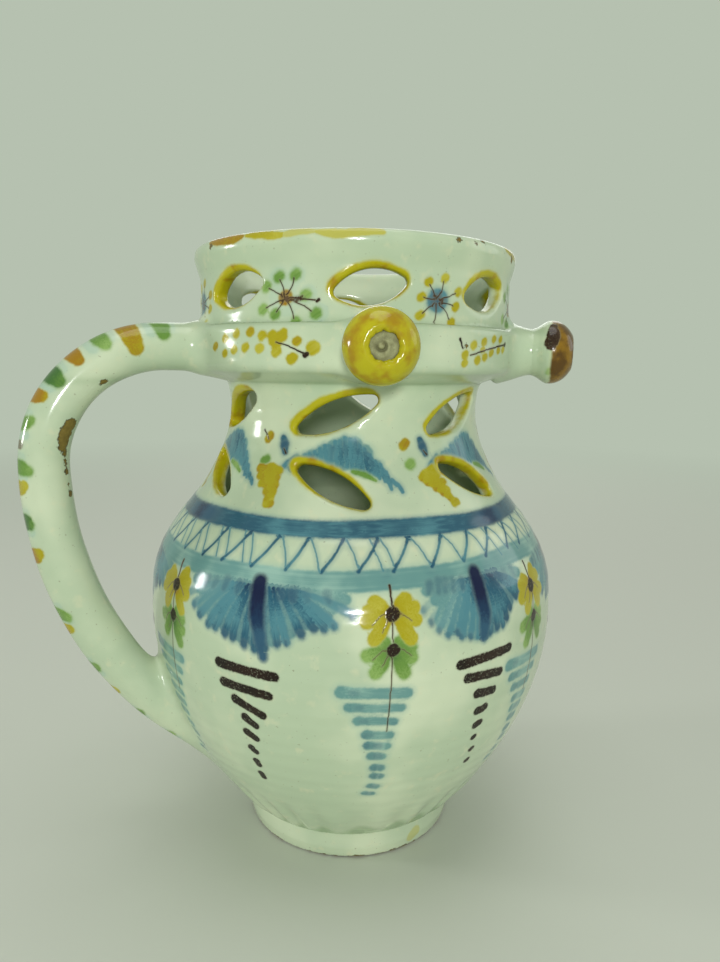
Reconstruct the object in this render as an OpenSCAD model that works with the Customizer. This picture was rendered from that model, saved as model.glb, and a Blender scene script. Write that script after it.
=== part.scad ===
// Glazed earthenware puzzle jug.
// A round belly on a foot ring carries a pierced neck, a hollow collar and a pierced crown.
// Drink rises through the hollow handle into the ring duct inside the collar and leaves
// through the nozzles around it. The front nozzle is a false one, closed with a clay plug.
// The origin is the centre of the face that the foot stands on, +Z is up, and the handle
// points along -X.

/* [Foot] */
// Height of the foot ring
foot_h = 10.5; // [8:0.5:14]
// Radius of the foot where it stands
foot_r = 36.8; // [33:0.2:38]
// How far the foot swells past its standing edge
foot_swell = 1; // [0.4:0.2:1.6]
// Wall of the foot ring
foot_wall = 7; // [5:0.5:9]
// Radius of the two edges that the foot stands on
foot_edge_r = 1.2; // [0.6:0.2:2]

/* [Belly] */
// Radius of the belly where it meets the foot
belly_base_r = 39.4; // [38:0.2:42]
// Largest radius of the belly
belly_r = 70.5; // [66:0.5:76]
// Height from the foot to the widest place
belly_rise = 71.5; // [66:0.5:78]
// Height from the widest place to the joint with the neck
shoulder_h = 36; // [30:0.5:40]
// Thickness of the thrown wall
wall_t = 5; // [4:0.25:6]
// Thickness of the belly's floor
floor_t = 6; // [4:0.5:9]

/* [Neck] */
// Radius of the neck at its waist
neck_r = 42.4; // [40:0.2:45]
// Height from the widest place of the belly to the waist of the neck
waist_rise = 68; // [64:0.5:74]
// Height from the waist to the top of the neck
neck_top_rise = 8; // [6:0.5:11]
// How far the neck opens again at its top
neck_out = 1.2; // [0.6:0.2:2]

/* [Slots] */
// Length of a slot in the upper row of the neck
upper_slot_l = 26; // [20:0.5:28]
// Width of a slot in the upper row of the neck
upper_slot_w = 8.4; // [6:0.2:10]
// Height of the upper row above the joint of belly and neck
upper_row_h = 31; // [29:0.5:32]
// Lean of the upper slots in degrees
upper_slot_lean = 23; // [10:1:28]
// Length of a slot in the lower row of the neck
lower_slot_l = 25; // [20:0.5:27]
// Width of a slot in the lower row of the neck
lower_slot_w = 8; // [6:0.2:9]
// Height of the lower row above the joint of belly and neck
lower_row_h = 11.2; // [10.8:0.2:14]
// Lean of the lower slots in degrees
lower_slot_lean = -28; // [-30:1:-10]
// Rise of the knife that cuts the lower slots, in degrees
lower_slot_rise = 20; // [10:1:30]
// Length of a slot in the crown
crown_slot_l = 20.6; // [16:0.2:23]
// Width of a slot in the crown
crown_slot_w = 9.8; // [7:0.2:10.4]
// Height of the crown's row above the collar
crown_row_h = 9.7; // [8.5:0.1:11]
// Lean of the crown's slots in degrees
crown_slot_lean = 10; // [0:1:16]
// Radius of a slot's two ends
slot_tip_r = 1.7; // [1:0.1:2.4]

/* [Collar] */
// How far the collar stands out past the top of the neck
collar_out = 10.8; // [10:0.2:14]
// Height of the flared underside of the collar
collar_under_h = 3.8; // [2.5:0.1:5]
// Height of the collar's upright side
collar_side_h = 13.4; // [12:0.2:16]
// Rounding of the collar's lower edge
collar_low_round = 3; // [1.5:0.1:4]
// Rounding of the collar's upper edge
collar_top_round = 1.8; // [0.8:0.1:2.4]
// Bore of the ring duct inside the collar
duct_bore = 7; // [5:0.2:8]

/* [Crown] */
// How far the crown's wall stands back from the collar's side
crown_back = 2.5; // [1.8:0.1:3.4]
// Height of the crown
crown_h = 24.8; // [23:0.2:28]
// Thickness of the crown's wall
crown_wall = 5; // [4:0.25:6]
// How far the lip stands out past the crown's wall
lip_out = 1.6; // [0.8:0.1:2.4]
// How far the lip opens inside
lip_in = 1.7; // [0.8:0.1:2.2]
// Height of the flared lip
lip_h = 9; // [7:0.2:11]

/* [Handle] */
// Outer diameter of the handle
handle_d = 14.6; // [12:0.2:15.6]
// Bore of the handle
handle_bore = 7; // [5:0.2:8]
// How far the handle's centreline stands out past the belly's widest place
handle_out = 30.1; // [26:0.1:35]
// Radius of the handle's top bend
top_bend_r = 36; // [32:0.5:40]
// Radius of the handle's long back
back_bend_r = 118; // [112:1:124]
// Turn of the long back where its centreline meets the belly, in degrees
root_turn = 43; // [40:0.5:45]
// Further turn that buries the handle's end, in degrees
buried_turn = 17; // [15:0.5:19]
// How far the handle swells where it joins the collar
handle_flare = 2.6; // [1:0.1:3.4]
// Length of that swelling
handle_flare_l = 8; // [6:0.5:9]

/* [Nozzles] */
// Angle between neighbouring nozzles, in degrees
nozzle_step = 72; // [66:1:74]
// Largest diameter of a nozzle's head
head_d = 20.4; // [18:0.2:22]
// Distance from the collar's side to the head's widest place
head_out = 11.8; // [10.6:0.2:14.6]
// Length of the head's dome
dome_l = 6.8; // [5.5:0.1:8]
// Diameter of a nozzle at its waist
throat_d = 15; // [13.6:0.2:16]
// Length from the head's widest place back to the waist
throat_l = 6.8; // [6:0.1:8]
// How far a nozzle swells where it joins the collar
nozzle_flare = 2.4; // [1:0.1:3]
// Bore of a nozzle
nozzle_bore = 6.4; // [5:0.2:7]
// Diameter of a nozzle's mouth
mouth_d = 7.8; // [7.2:0.1:8.6]
// Depth of a nozzle's mouth
mouth_depth = 3.4; // [2.6:0.1:4.5]
// Rounding of the lip of the mouth
mouth_round = 1.4; // [0.8:0.1:1.8]

/* [Plug] */
// How far the face of the clay plug lies below the head's tip
plug_drop = 1.3; // [0.8:0.1:1.8]
// Height of the nub on the plug
nub_h = 0.8; // [0.4:0.1:1.1]
// Diameter of the nub on the plug
nub_d = 2.2; // [1.4:0.1:3]

/* [Hidden] */
$fn = 96;
// Length by which every cutter runs past what it cuts
overrun = 5;
// Points in one stretch of a smooth curve, and degrees in one step of a rounded corner
curve_steps = 3;
corner_step = 15;
lower_steps = 14;
slot_steps = 5;
tip_steps = 3;

// Heights of the joints and rows
wide_z = foot_h + belly_rise;
neck_z = wide_z + shoulder_h;
waist_z = wide_z + waist_rise;
collar_z = waist_z + neck_top_rise;
side_z = collar_z + collar_under_h;
crown_z = side_z + collar_side_h;
rim_z = crown_z + crown_h;
duct_z = side_z + collar_side_h / 2;
neck_top_r = neck_r + neck_out;
collar_r = neck_top_r + collar_out;
crown_r = collar_r - crown_back;
head_at = collar_r + head_out;
handle_reach = belly_r + handle_out;
duct_r = collar_r - (collar_r - neck_top_r + wall_t) / 2;

// Shoulder between the widest place and the waist: shares of the rise and of the radius lost
shoulder_shares = [[0, 1], [0.12, 0.985], [0.21, 0.952], [0.32, 0.852], [0.44, 0.672],
    [0.5, 0.552], [0.56, 0.434], [0.62, 0.328], [0.68, 0.242], [0.74, 0.168],
    [0.8, 0.102], [0.86, 0.052], [0.93, 0.014], [1, 0]];
flare_shares = [[0.5, 0.25], [1, 1]];
// Profile of a nozzle's dome: shares of its length and of the head's radius
dome_shares = [[0, 1], [0.2, 0.985], [0.4, 0.94], [0.6, 0.86], [0.78, 0.75], [0.92, 0.62]];
throat_shares = [[0.18, 0.96], [0.4, 0.66], [0.62, 0.27], [0.82, 0.06], [1, 0]];

// Where the slots lie around the neck and the crown, in degrees from +X, as a hand cut them
neck_slot_at = [-176, -121, -65, -7, 52, 112];
crown_slot_at = [-156, -109, -64, -19, 26, 71, 116, 161];
// Nozzles and handle share the collar evenly
nozzle_at = [-1.5 * nozzle_step, -nozzle_step / 2, nozzle_step / 2, 1.5 * nozzle_step];

// A smooth curve through points
function smooth(p, n) = [for (i = [0:len(p) - 2], k = [0:i == len(p) - 2 ? n : n - 1])
    let (t = k / n, a = p[max(i - 1, 0)], b = p[i], c = p[i + 1], d = p[min(i + 2, len(p) - 1)])
    b + ((c - a) * t + (2 * a - 5 * b + 4 * c - d) * t * t
        + (3 * b - a - 3 * c + d) * t * t * t) / 2];

// The points moved to their left by t
function beside(p, t) = [for (i = [0:len(p) - 1])
    let (run = p[min(i + 1, len(p) - 1)] - p[max(i - 1, 0)])
    p[i] + t * [-run[1], run[0]] / norm(run)];

function backward(p) = [for (i = [len(p) - 1:-1:0]) p[i]];

// An outline whose corners [x, y, r] are rounded to radius r
function rounded(p) = [for (i = [0:len(p) - 1])
    let (c = [p[i][0], p[i][1]], r = p[i][2],
        before = p[(i + len(p) - 1) % len(p)], after = p[(i + 1) % len(p)],
        u = ([before[0], before[1]] - c) / norm([before[0], before[1]] - c),
        v = ([after[0], after[1]] - c) / norm([after[0], after[1]] - c),
        half = acos(u * v) / 2,
        centre = c + (u + v) / norm(u + v) * r / sin(half),
        from = c + u * r / tan(half) - centre,
        side = u[0] * v[1] - u[1] * v[0] > 0 ? -1 : 1,
        turn = 180 - 2 * half,
        n = r == 0 ? 0 : max(ceil(turn / corner_step), 1))
    each r == 0 ? [c] : [for (k = [0:n]) let (a = side * turn * k / n)
        centre + [from[0] * cos(a) - from[1] * sin(a), from[0] * sin(a) + from[1] * cos(a)]]];

// The outer curve of the thrown wall, from the foot to the underside of the collar
wall_curve = concat(
    [for (i = [0:lower_steps - 1]) let (s = i / lower_steps)
        [belly_base_r + (belly_r - belly_base_r) * (1 - (1 - s) * (1 - s)),
            foot_h + belly_rise * s]],
    smooth([for (s = shoulder_shares)
        [neck_r + (belly_r - neck_r) * s[1], wide_z + waist_rise * s[0]]], curve_steps),
    [for (s = flare_shares) [neck_r + neck_out * s[1], waist_z + neck_top_rise * s[0]]]);
inner_curve = [for (p = beside(wall_curve, wall_t)) if (p[1] > foot_h + floor_t) p];
neck_in_r = neck_top_r - wall_t;

// The collar's section without its duct
collar_outline = rounded([
    [neck_top_r, collar_z, 0],
    [collar_r, side_z, collar_low_round],
    [collar_r, crown_z, collar_top_round],
    [crown_r, crown_z, 0],
    [crown_r - crown_wall, crown_z, 0],
    [neck_in_r, side_z + collar_low_round, collar_low_round],
    [neck_in_r, collar_z, 0]]);

crown_outline = rounded([
    [crown_r, crown_z, 0],
    [crown_r, rim_z - lip_h, lip_h * 0.6],
    [crown_r + lip_out, rim_z - lip_h * 0.4, lip_h * 0.25],
    [crown_r + lip_out * 0.7, rim_z, crown_wall * 0.4],
    [crown_r - crown_wall + lip_in, rim_z, crown_wall * 0.35],
    [crown_r - crown_wall, rim_z - lip_h, lip_h * 0.6],
    [crown_r - crown_wall, crown_z, 0]]);

module turned(outline) {
    rotate_extrude() polygon(outline);
}

// The thrown wall of belly and neck in one
module thrown_wall() {
    turned(concat([[0, foot_h]], wall_curve, [[neck_in_r, collar_z]],
        backward([for (p = inner_curve) if (p[1] < collar_z) p]),
        [[inner_curve[0][0], foot_h + floor_t], [0, foot_h + floor_t]]));
}

// Everything inside the outer face of neck, collar and crown, and inside that of the belly:
// they trim what is luted on from outside
module collar_core() {
    turned(concat([[0, waist_z]], [for (p = wall_curve) if (p[1] >= waist_z) p],
        [for (p = collar_outline) if (p[0] > crown_r && p[1] > collar_z && p[1] < crown_z) p],
        [[collar_r - collar_top_round, crown_z], [crown_r, crown_z], [crown_r, rim_z - lip_h],
            [0, rim_z - lip_h]]));
}

module belly_core() {
    turned(concat([[0, foot_h]], [for (p = wall_curve) if (p[1] <= waist_z) p],
        [[0, waist_z]]));
}

// A slot's outline: two long arcs that run into two round ends
module slot_outline(l, w) {
    end_x = l / 2 - slot_tip_r;
    side_r = (end_x * end_x + w * w / 4 - slot_tip_r * slot_tip_r) / (w - 2 * slot_tip_r);
    side_turn = asin(end_x / (side_r - slot_tip_r));
    quarter = concat(
        [for (k = [0:slot_steps]) let (a = side_turn * k / slot_steps)
            [side_r * sin(a), w / 2 - side_r + side_r * cos(a)]],
        [for (k = [1:tip_steps]) let (a = side_turn + (90 - side_turn) * k / tip_steps)
            [end_x + slot_tip_r * sin(a), slot_tip_r * cos(a)]]);
    upper = concat(backward(quarter),
        [for (k = [1:len(quarter) - 1]) [-quarter[k][0], quarter[k][1]]]);
    polygon(concat(upper, [for (k = [1:len(upper) - 2]) -upper[k]]));
}

// A knife that cuts one slot outward from the axis, at height z and angle at
module slot_cut(l, w, z, at, lean, rise = 0, r = 0) {
    rotate([0, 0, at]) translate([r, 0, z]) rotate([0, -rise, 0]) translate([-r, 0, 0])
        rotate([90, 0, 90]) rotate([0, 0, lean])
            translate([0, 0, neck_in_r / 2]) linear_extrude(collar_r) slot_outline(l, w);
}

// A round bar along the nozzle or handle at angle at, from the ring duct outward
module duct_branch(at, d) {
    rotate([0, 0, at]) translate([duct_r, 0, duct_z]) rotate([0, 90, 0])
        cylinder(d = d, h = head_at + dome_l + overrun - duct_r);
}

// The foot ring, thrown onto the base and trimmed
module foot_ring() {
    color("#d9dfcb") turned(rounded([
        [foot_r - foot_wall, foot_h, 0],
        [foot_r - foot_wall, 0, foot_edge_r],
        [foot_r, 0, foot_edge_r],
        [foot_r + foot_swell, foot_h * 0.4, foot_h * 0.3],
        [foot_r + foot_swell * 0.6, foot_h, 0]]));
}

// The belly, from its floor to the joint under the painted band
module belly() {
    color("#e4e9dc") difference() {
        intersection() {
            thrown_wall();
            translate([0, 0, foot_h]) cylinder(r = belly_r + overrun, h = neck_z - foot_h);
        }
        rotate([0, 0, 180]) translate([belly_base_r / 2, 0, root_z]) rotate([0, 90, 0])
            cylinder(d = handle_bore, h = belly_r);
    }
}

// The neck with its two rows of slots
module neck() {
    color("#e6ebdf") difference() {
        intersection() {
            thrown_wall();
            translate([0, 0, neck_z]) cylinder(r = belly_r + overrun, h = collar_z - neck_z);
        }
        for (at = neck_slot_at) {
            slot_cut(upper_slot_l, upper_slot_w, neck_z + upper_row_h, at, upper_slot_lean);
            slot_cut(lower_slot_l, lower_slot_w, neck_z + lower_row_h, at, lower_slot_lean,
                lower_slot_rise, neck_top_r + wall_t);
        }
    }
}

// The collar with its ring duct and the branches to handle and nozzles
module collar_ring() {
    color("#dfe6da") difference() {
        turned(collar_outline);
        rotate_extrude() translate([duct_r, duct_z]) circle(d = duct_bore);
        for (at = nozzle_at) duct_branch(at, nozzle_bore);
        duct_branch(180, handle_bore);
    }
}

// The pierced crown with its flared lip
module crown() {
    color("#e6ebdf") difference() {
        turned(crown_outline);
        for (at = crown_slot_at)
            slot_cut(crown_slot_l, crown_slot_w, crown_z + crown_row_h, at, crown_slot_lean);
    }
}

// The handle's centreline: a straight start, the top bend and the long back
top_x = handle_reach - top_bend_r;
back_z = duct_z - top_bend_r;
back_x = handle_reach - back_bend_r;
root_z = back_z - back_bend_r * sin(root_turn);

// A bar of diameter d along the handle's centreline, in the XZ plane
module handle_bar(d, past) {
    translate([duct_r + past, 0, duct_z]) rotate([0, 90, 0])
        cylinder(d = d, h = top_x - duct_r - past);
    translate([top_x, 0, back_z]) rotate([90, 0, 0])
        rotate_extrude(angle = 90) translate([top_bend_r, 0]) circle(d = d);
    translate([back_x, 0, back_z]) rotate([90, 0, 0])
        rotate_extrude(angle = -root_turn - buried_turn)
            translate([back_bend_r, 0]) circle(d = d);
}

// A hollow trumpet around the X axis that swells by flare from d towards the jug's body
module root_swelling(d, flare, from_x, l) {
    rotate([0, 90, 0]) rotate_extrude() polygon(concat([[0, from_x]],
        [for (k = [0:curve_steps * 3]) let (s = k / (curve_steps * 3))
            [d / 2 + flare * (1 - s) * (1 - s), from_x + l * s]],
        [[0, from_x + l]]));
}

// The hollow handle, bent from a pulled tube and luted to collar and belly
module handle() {
    color("#e2e8d8") rotate([0, 0, 180]) difference() {
        union() {
            handle_bar(handle_d, wall_t);
            translate([0, 0, duct_z])
                root_swelling(handle_d, handle_flare, collar_r - overrun / 2, handle_flare_l);
        }
        collar_core();
        belly_core();
        handle_bar(handle_bore, 0);
    }
}

// One nozzle, turned around its own axis, which points away from the jug at angle at
module nozzle(at) {
    tip_x = head_at + dome_l;
    waist_x = head_at - throat_l;
    root_x = collar_r - overrun;
    head_r = head_d / 2;
    throat_r = throat_d / 2;
    mouth_r = mouth_d / 2;
    color("#e0b828") rotate([0, 0, at]) difference() {
        translate([0, 0, duct_z]) rotate([0, 90, 0]) rotate_extrude()
            polygon(concat(
                [[0, root_x], [throat_r + nozzle_flare, root_x]],
                [for (k = [0:curve_steps * 2 - 1]) let (s = k / (curve_steps * 2))
                    [throat_r + nozzle_flare * (1 - s) * (1 - s),
                        collar_r - wall_t / 2 + (waist_x - collar_r + wall_t / 2) * s]],
                backward([for (s = throat_shares)
                    [throat_r + (head_r - throat_r) * s[1], head_at - throat_l * s[0]]]),
                smooth(concat([for (s = dome_shares) [head_r * s[1], head_at + dome_l * s[0]]],
                    [[mouth_r + mouth_round, tip_x], [mouth_r + mouth_round * 0.3,
                        tip_x - mouth_round * 0.3], [mouth_r, tip_x - mouth_round]]),
                    curve_steps),
                [[mouth_r, tip_x - mouth_depth], [0, tip_x - mouth_depth]]));
        rotate([0, 0, 180]) collar_core();
        duct_branch(0, nozzle_bore);
    }
}

// The plug of raw clay that closes the front nozzle's mouth
module front_nozzle_plug() {
    seat_x = head_at + dome_l - mouth_depth;
    face_x = head_at + dome_l - max(plug_drop, mouth_round);
    color("#a9a084") rotate([0, 0, nozzle_at[0]]) translate([0, 0, duct_z]) rotate([0, 90, 0])
        union() {
            translate([0, 0, seat_x]) cylinder(d = mouth_d, h = face_x - seat_x);
            translate([0, 0, face_x]) intersection() {
                cylinder(d = nub_d, h = nub_h);
                translate([0, 0, nub_h - nub_d / 2]) sphere(d = nub_d, $fn = 32);
            }
        }
}

foot_ring();
belly();
neck();
collar_ring();
crown();
handle();
nozzle(nozzle_at[0]);  // front_nozzle
nozzle(nozzle_at[1]);  // right_nozzle
nozzle(nozzle_at[2]);  // rear_right_nozzle
nozzle(nozzle_at[3]);  // rear_left_nozzle
front_nozzle_plug();
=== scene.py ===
import math
import bpy
import numpy as np
from mathutils import Matrix, Vector


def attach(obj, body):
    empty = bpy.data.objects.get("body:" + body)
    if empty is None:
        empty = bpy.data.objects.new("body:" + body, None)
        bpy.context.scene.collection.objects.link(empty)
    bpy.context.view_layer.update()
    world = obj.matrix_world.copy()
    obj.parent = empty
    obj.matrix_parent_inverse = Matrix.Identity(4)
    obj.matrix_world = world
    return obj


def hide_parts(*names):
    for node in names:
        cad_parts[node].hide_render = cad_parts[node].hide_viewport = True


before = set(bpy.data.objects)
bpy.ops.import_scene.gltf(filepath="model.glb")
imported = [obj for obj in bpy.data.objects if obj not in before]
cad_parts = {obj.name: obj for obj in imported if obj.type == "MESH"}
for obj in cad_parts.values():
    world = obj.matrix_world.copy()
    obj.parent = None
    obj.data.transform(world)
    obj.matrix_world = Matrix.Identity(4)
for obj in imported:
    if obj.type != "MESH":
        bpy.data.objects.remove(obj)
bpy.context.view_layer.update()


# The camera stands a hand's height above the belly and close to the jug, so the mouth shows
# as a thin oval and the belly bulges towards it. It looks a little down and leans slightly.
MM = 0.001
FRONT = -114.0


def around(azimuth):
    """Angle about the jug's axis of a place that lies azimuth degrees right of the front."""
    return np.radians(np.asarray(azimuth, float) + FRONT)


stand_off = 248.0
eye_height = 164.4
look_down, look_right, lean = np.radians([9.61, 0.61, 0.79])
picture_width, focal_length = 720, 700
front = around(0)
outward = np.array([math.cos(front), math.sin(front), 0.0])
ahead = -outward
right = np.array([-math.sin(front), math.cos(front), 0.0])
ahead_now = math.cos(look_right) * ahead + math.sin(look_right) * right
right_now = math.cos(look_right) * right - math.sin(look_right) * ahead
upward = np.array([0.0, 0.0, 1.0])
gaze = math.cos(look_down) * ahead_now - math.sin(look_down) * upward
below = -math.sin(look_down) * ahead_now - math.cos(look_down) * upward
camera_right = math.cos(lean) * right_now - math.sin(lean) * below
camera_up = -(math.sin(lean) * right_now + math.cos(lean) * below)
eye = outward * stand_off + upward * eye_height


def in_scene(name, data):
    """Put a new object that holds the given data in the scene."""
    made = bpy.data.objects.new(name, data)
    bpy.context.scene.collection.objects.link(made)
    return made


camera = in_scene("camera", bpy.data.cameras.new("camera"))
camera.data.sensor_fit = "HORIZONTAL"
camera.data.sensor_width = 36.0
camera.data.lens = camera.data.sensor_width * focal_length / picture_width
camera.data.clip_start = 0.01
camera.matrix_world = Matrix((
    (camera_right[0], camera_up[0], -gaze[0], eye[0] * MM),
    (camera_right[1], camera_up[1], -gaze[1], eye[1] * MM),
    (camera_right[2], camera_up[2], -gaze[2], eye[2] * MM),
    (0, 0, 0, 1)))
bpy.context.scene.camera = camera
bpy.context.scene.view_settings.view_transform = "Standard"


# The table is a plain pale surface that runs out into an even pale backdrop. It is matt, so
# it shows the jug's soft shadow and no reflection. Both are stage, not part of the jug.
def colour(hex_code):
    """The linear colour of an sRGB hex value."""
    parts = [int(hex_code[k:k + 2], 16) / 255 for k in (1, 3, 5)]
    return [p / 12.92 if p <= 0.04045 else ((p + 0.055) / 1.055) ** 2.4 for p in parts] + [1]


def emptied_tree(owner):
    """The shader tree of a material or world, with nothing in it yet."""
    owner.use_nodes = True
    owner.node_tree.nodes.clear()
    return owner.node_tree


def add(tree, kind, settings=None, *values, **named):
    """Add a shader node with its settings, and fill or link its inputs in order or by name."""
    made = tree.nodes.new("ShaderNode" + kind)
    for setting, value in (settings or {}).items():
        setattr(made, setting, value)
    ends = [(socket, value) for socket, value in zip((s for s in made.inputs if s.enabled), values)]
    ends += [(made.inputs[name.replace("_", " ")], value) for name, value in named.items()]
    for socket, value in ends:
        if isinstance(value, bpy.types.Node):
            value = next(output for output in value.outputs if output.enabled)
        if isinstance(value, bpy.types.NodeSocket):
            tree.links.new(value, socket)
        else:
            socket.default_value = value
    return made


backdrop_colour = "#B6C1B0"
table_colour = "#CDD3C4"
table_reach, fade_from, fade_to = 4.0, 0.30, 1.30
table_mesh = bpy.data.meshes.new("table")
ring = [(table_reach * math.cos(a), table_reach * math.sin(a), 0)
        for a in np.radians(np.arange(0, 360, 5))]
table_mesh.from_pydata(ring, [], [list(range(len(ring)))])
table = in_scene("table", table_mesh)
table_look = bpy.data.materials.new("matt_table")
tree = emptied_tree(table_look)
place = add(tree, "TexCoord").outputs["Object"]
distance = add(tree, "VectorMath", {"operation": "LENGTH"}, place)
fade = add(tree, "MapRange", {"interpolation_type": "SMOOTHSTEP"}, distance, fade_from, fade_to)
matt = add(tree, "BsdfDiffuse", Color=colour(table_colour))
glow = add(tree, "Emission", Color=colour(backdrop_colour), Strength=1.0)
both = add(tree, "MixShader", None, fade, matt, glow)
add(tree, "OutputMaterial", Surface=both)
table_mesh.materials.append(table_look)

world = bpy.data.worlds.new("studio")
bpy.context.scene.world = world
tree = emptied_tree(world)
ray = add(tree, "LightPath").outputs
seen = add(tree, "Math", {"operation": "MAXIMUM"}, ray["Is Camera Ray"], ray["Is Transmission Ray"])
seen = add(tree, "Math", {"operation": "MAXIMUM"}, seen, ray["Is Glossy Ray"])
room = add(tree, "Background", Color=colour("#F3F6F2"), Strength=0.29)
behind = add(tree, "Background", Color=colour(backdrop_colour), Strength=1.0)
both = add(tree, "MixShader", None, seen, room, behind)
add(tree, "OutputWorld", Surface=both)

# Soft boxes: name, degrees right of the front, height and distance in metres, width, watts
for name, azimuth, height, reach, width, watts in (
        ("key_box", -91, 0.26, 0.95, 0.15, 1.9), ("front_box", 2, 0.35, 1.10, 0.14, 6.6),
        ("side_box", 100, 0.50, 1.10, 0.60, 1.2), ("back_box", 175, 0.70, 1.00, 1.00, 3.4),
        ("top_box", 0, 1.15, 0.10, 0.70, 2.8)):
    lamp = bpy.data.lights.new(name, "AREA")
    lamp.shape = "DISK"
    lamp.size = width
    lamp.energy = watts
    box = in_scene(name, lamp)
    angle = around(azimuth)
    box.location = (reach * math.cos(angle), reach * math.sin(angle), height)
    aim = Vector((0, 0, 0.10)) - box.location
    box.rotation_euler = aim.to_track_quat("-Z", "Y").to_euler()


# The clay: foot, belly, neck, collar and crown are thrown earthenware, set on each other
# while soft, and handle and nozzles are luted on. Glaze rounds every edge and joint, so the
# whole body is one distance field in mm, negative in the clay, that each piece is cut from.
foot_h, foot_r, foot_swell, foot_wall, foot_edge_r = 10.5, 36.8, 1.0, 7.0, 1.2
belly_base_r, belly_r, belly_rise, wall_t, floor_t = 39.4, 70.5, 71.5, 5.0, 6.0
neck_r, waist_rise, neck_top_rise, neck_out = 42.4, 68.0, 8.0, 1.2
collar_out, collar_under_h, collar_side_h = 10.8, 3.8, 13.4
collar_low_round, collar_top_round = 3.0, 1.8
crown_back, crown_h, crown_wall, lip_out, lip_in, lip_h = 2.5, 24.8, 5.0, 1.6, 1.7, 9.0
joint_z = 118.0
wide_z = foot_h + belly_rise
waist_z = wide_z + waist_rise
collar_z = waist_z + neck_top_rise
side_z = collar_z + collar_under_h
crown_z = side_z + collar_side_h
rim_z = crown_z + crown_h
duct_z = side_z + collar_side_h / 2
neck_top_r = neck_r + neck_out
neck_in_r = neck_top_r - wall_t
collar_r = neck_top_r + collar_out
crown_r = collar_r - crown_back
shoulder_shares = [[0, 1], [0.12, 0.985], [0.21, 0.952], [0.32, 0.852], [0.44, 0.672],
                   [0.5, 0.552], [0.56, 0.434], [0.62, 0.328], [0.68, 0.242], [0.74, 0.168],
                   [0.8, 0.102], [0.86, 0.052], [0.93, 0.014], [1, 0]]


def smooth_line(points, steps):
    """A smooth curve through points, with steps pieces between each two."""
    points = np.asarray(points, float)
    last = len(points) - 1
    curve = []
    for i in range(last):
        a, b = points[max(i - 1, 0)], points[i]
        c, d = points[i + 1], points[min(i + 2, last)]
        for t in np.arange(steps) / steps:
            curve.append(b + ((c - a) * t + (2 * a - 5 * b + 4 * c - d) * t * t
                              + (3 * b - a - 3 * c + d) * t ** 3) / 2)
    return np.array(curve + [points[last]])


def rounded(corners):
    """An open outline of corners (x, y, radius) with each corner rounded to its radius."""
    line = []
    for i, (x, y, radius) in enumerate(corners):
        here = np.array([x, y], float)
        if radius == 0 or i in (0, len(corners) - 1):
            line.append(here)
            continue
        back = np.array(corners[i - 1][:2], float) - here
        on = np.array(corners[i + 1][:2], float) - here
        back /= np.linalg.norm(back)
        on /= np.linalg.norm(on)
        half = math.acos(float(np.clip(back @ on, -1, 1))) / 2
        start, end = here + back * radius / math.tan(half), here + on * radius / math.tan(half)
        centre = here + (back + on) / np.linalg.norm(back + on) * radius / math.sin(half)
        for t in np.linspace(0, 1, 8):
            way = (start - centre) * (1 - t) + (end - centre) * t
            line.append(centre + way / np.linalg.norm(way) * radius)
    return np.array(line)


lower = [[belly_base_r + (belly_r - belly_base_r) * (1 - (1 - s) ** 2), foot_h + belly_rise * s]
         for s in np.arange(0, 1, 0.05)]
shoulder = smooth_line([[neck_r + (belly_r - neck_r) * share, wide_z + waist_rise * rise]
                        for rise, share in shoulder_shares], 4)
wall_line = np.vstack([lower, shoulder, [[neck_r + neck_out / 4, waist_z + neck_top_rise / 2],
                                         [neck_top_r, collar_z]]])
run = np.gradient(wall_line, axis=0)
inner_line = wall_line + wall_t * np.c_[-run[:, 1], run[:, 0]] / np.linalg.norm(run, axis=1)[:, None]
inner_line = inner_line[(inner_line[:, 1] > foot_h + floor_t) & (inner_line[:, 1] < collar_z)]
foot_line = rounded([[foot_r - foot_wall, foot_h, 0], [foot_r - foot_wall, 0, foot_edge_r],
                     [foot_r, 0, foot_edge_r], [foot_r + foot_swell, foot_h * 0.4, foot_h * 0.3],
                     [foot_r + foot_swell * 0.6, foot_h, 0]])
collar_line = rounded([[neck_top_r, collar_z, 0], [collar_r, side_z, collar_low_round],
                       [collar_r, crown_z, collar_top_round], [crown_r, crown_z, 0]])
crown_line = rounded([[crown_r, crown_z, 0], [crown_r, rim_z - lip_h, lip_h * 0.6],
                      [crown_r + lip_out, rim_z - lip_h * 0.4, lip_h * 0.25],
                      [crown_r + lip_out * 0.7, rim_z, crown_wall * 0.4],
                      [crown_r - crown_wall + lip_in, rim_z, crown_wall * 0.35],
                      [crown_r - crown_wall, rim_z - lip_h, lip_h * 0.6],
                      [crown_r - crown_wall, crown_z, 0],
                      [neck_in_r, side_z + collar_low_round, collar_low_round],
                      [neck_in_r, collar_z, 0]])
outer_line = np.vstack([[[foot_r + foot_swell * 0.6, foot_h - 1]], wall_line, collar_line,
                        crown_line[crown_line[:, 0] > crown_r - 0.1]])
thrown = np.vstack([[[0, foot_h]], foot_line, wall_line, collar_line, crown_line, inner_line[::-1],
                    [[inner_line[0][0], foot_h + floor_t]], [[0, foot_h + floor_t]]])
filled = np.vstack([[[0, 0]], foot_line[foot_line[:, 0] > foot_r - 1], wall_line, collar_line,
                    crown_line[crown_line[:, 0] > crown_r - 0.1], [[0, rim_z]]])


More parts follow.
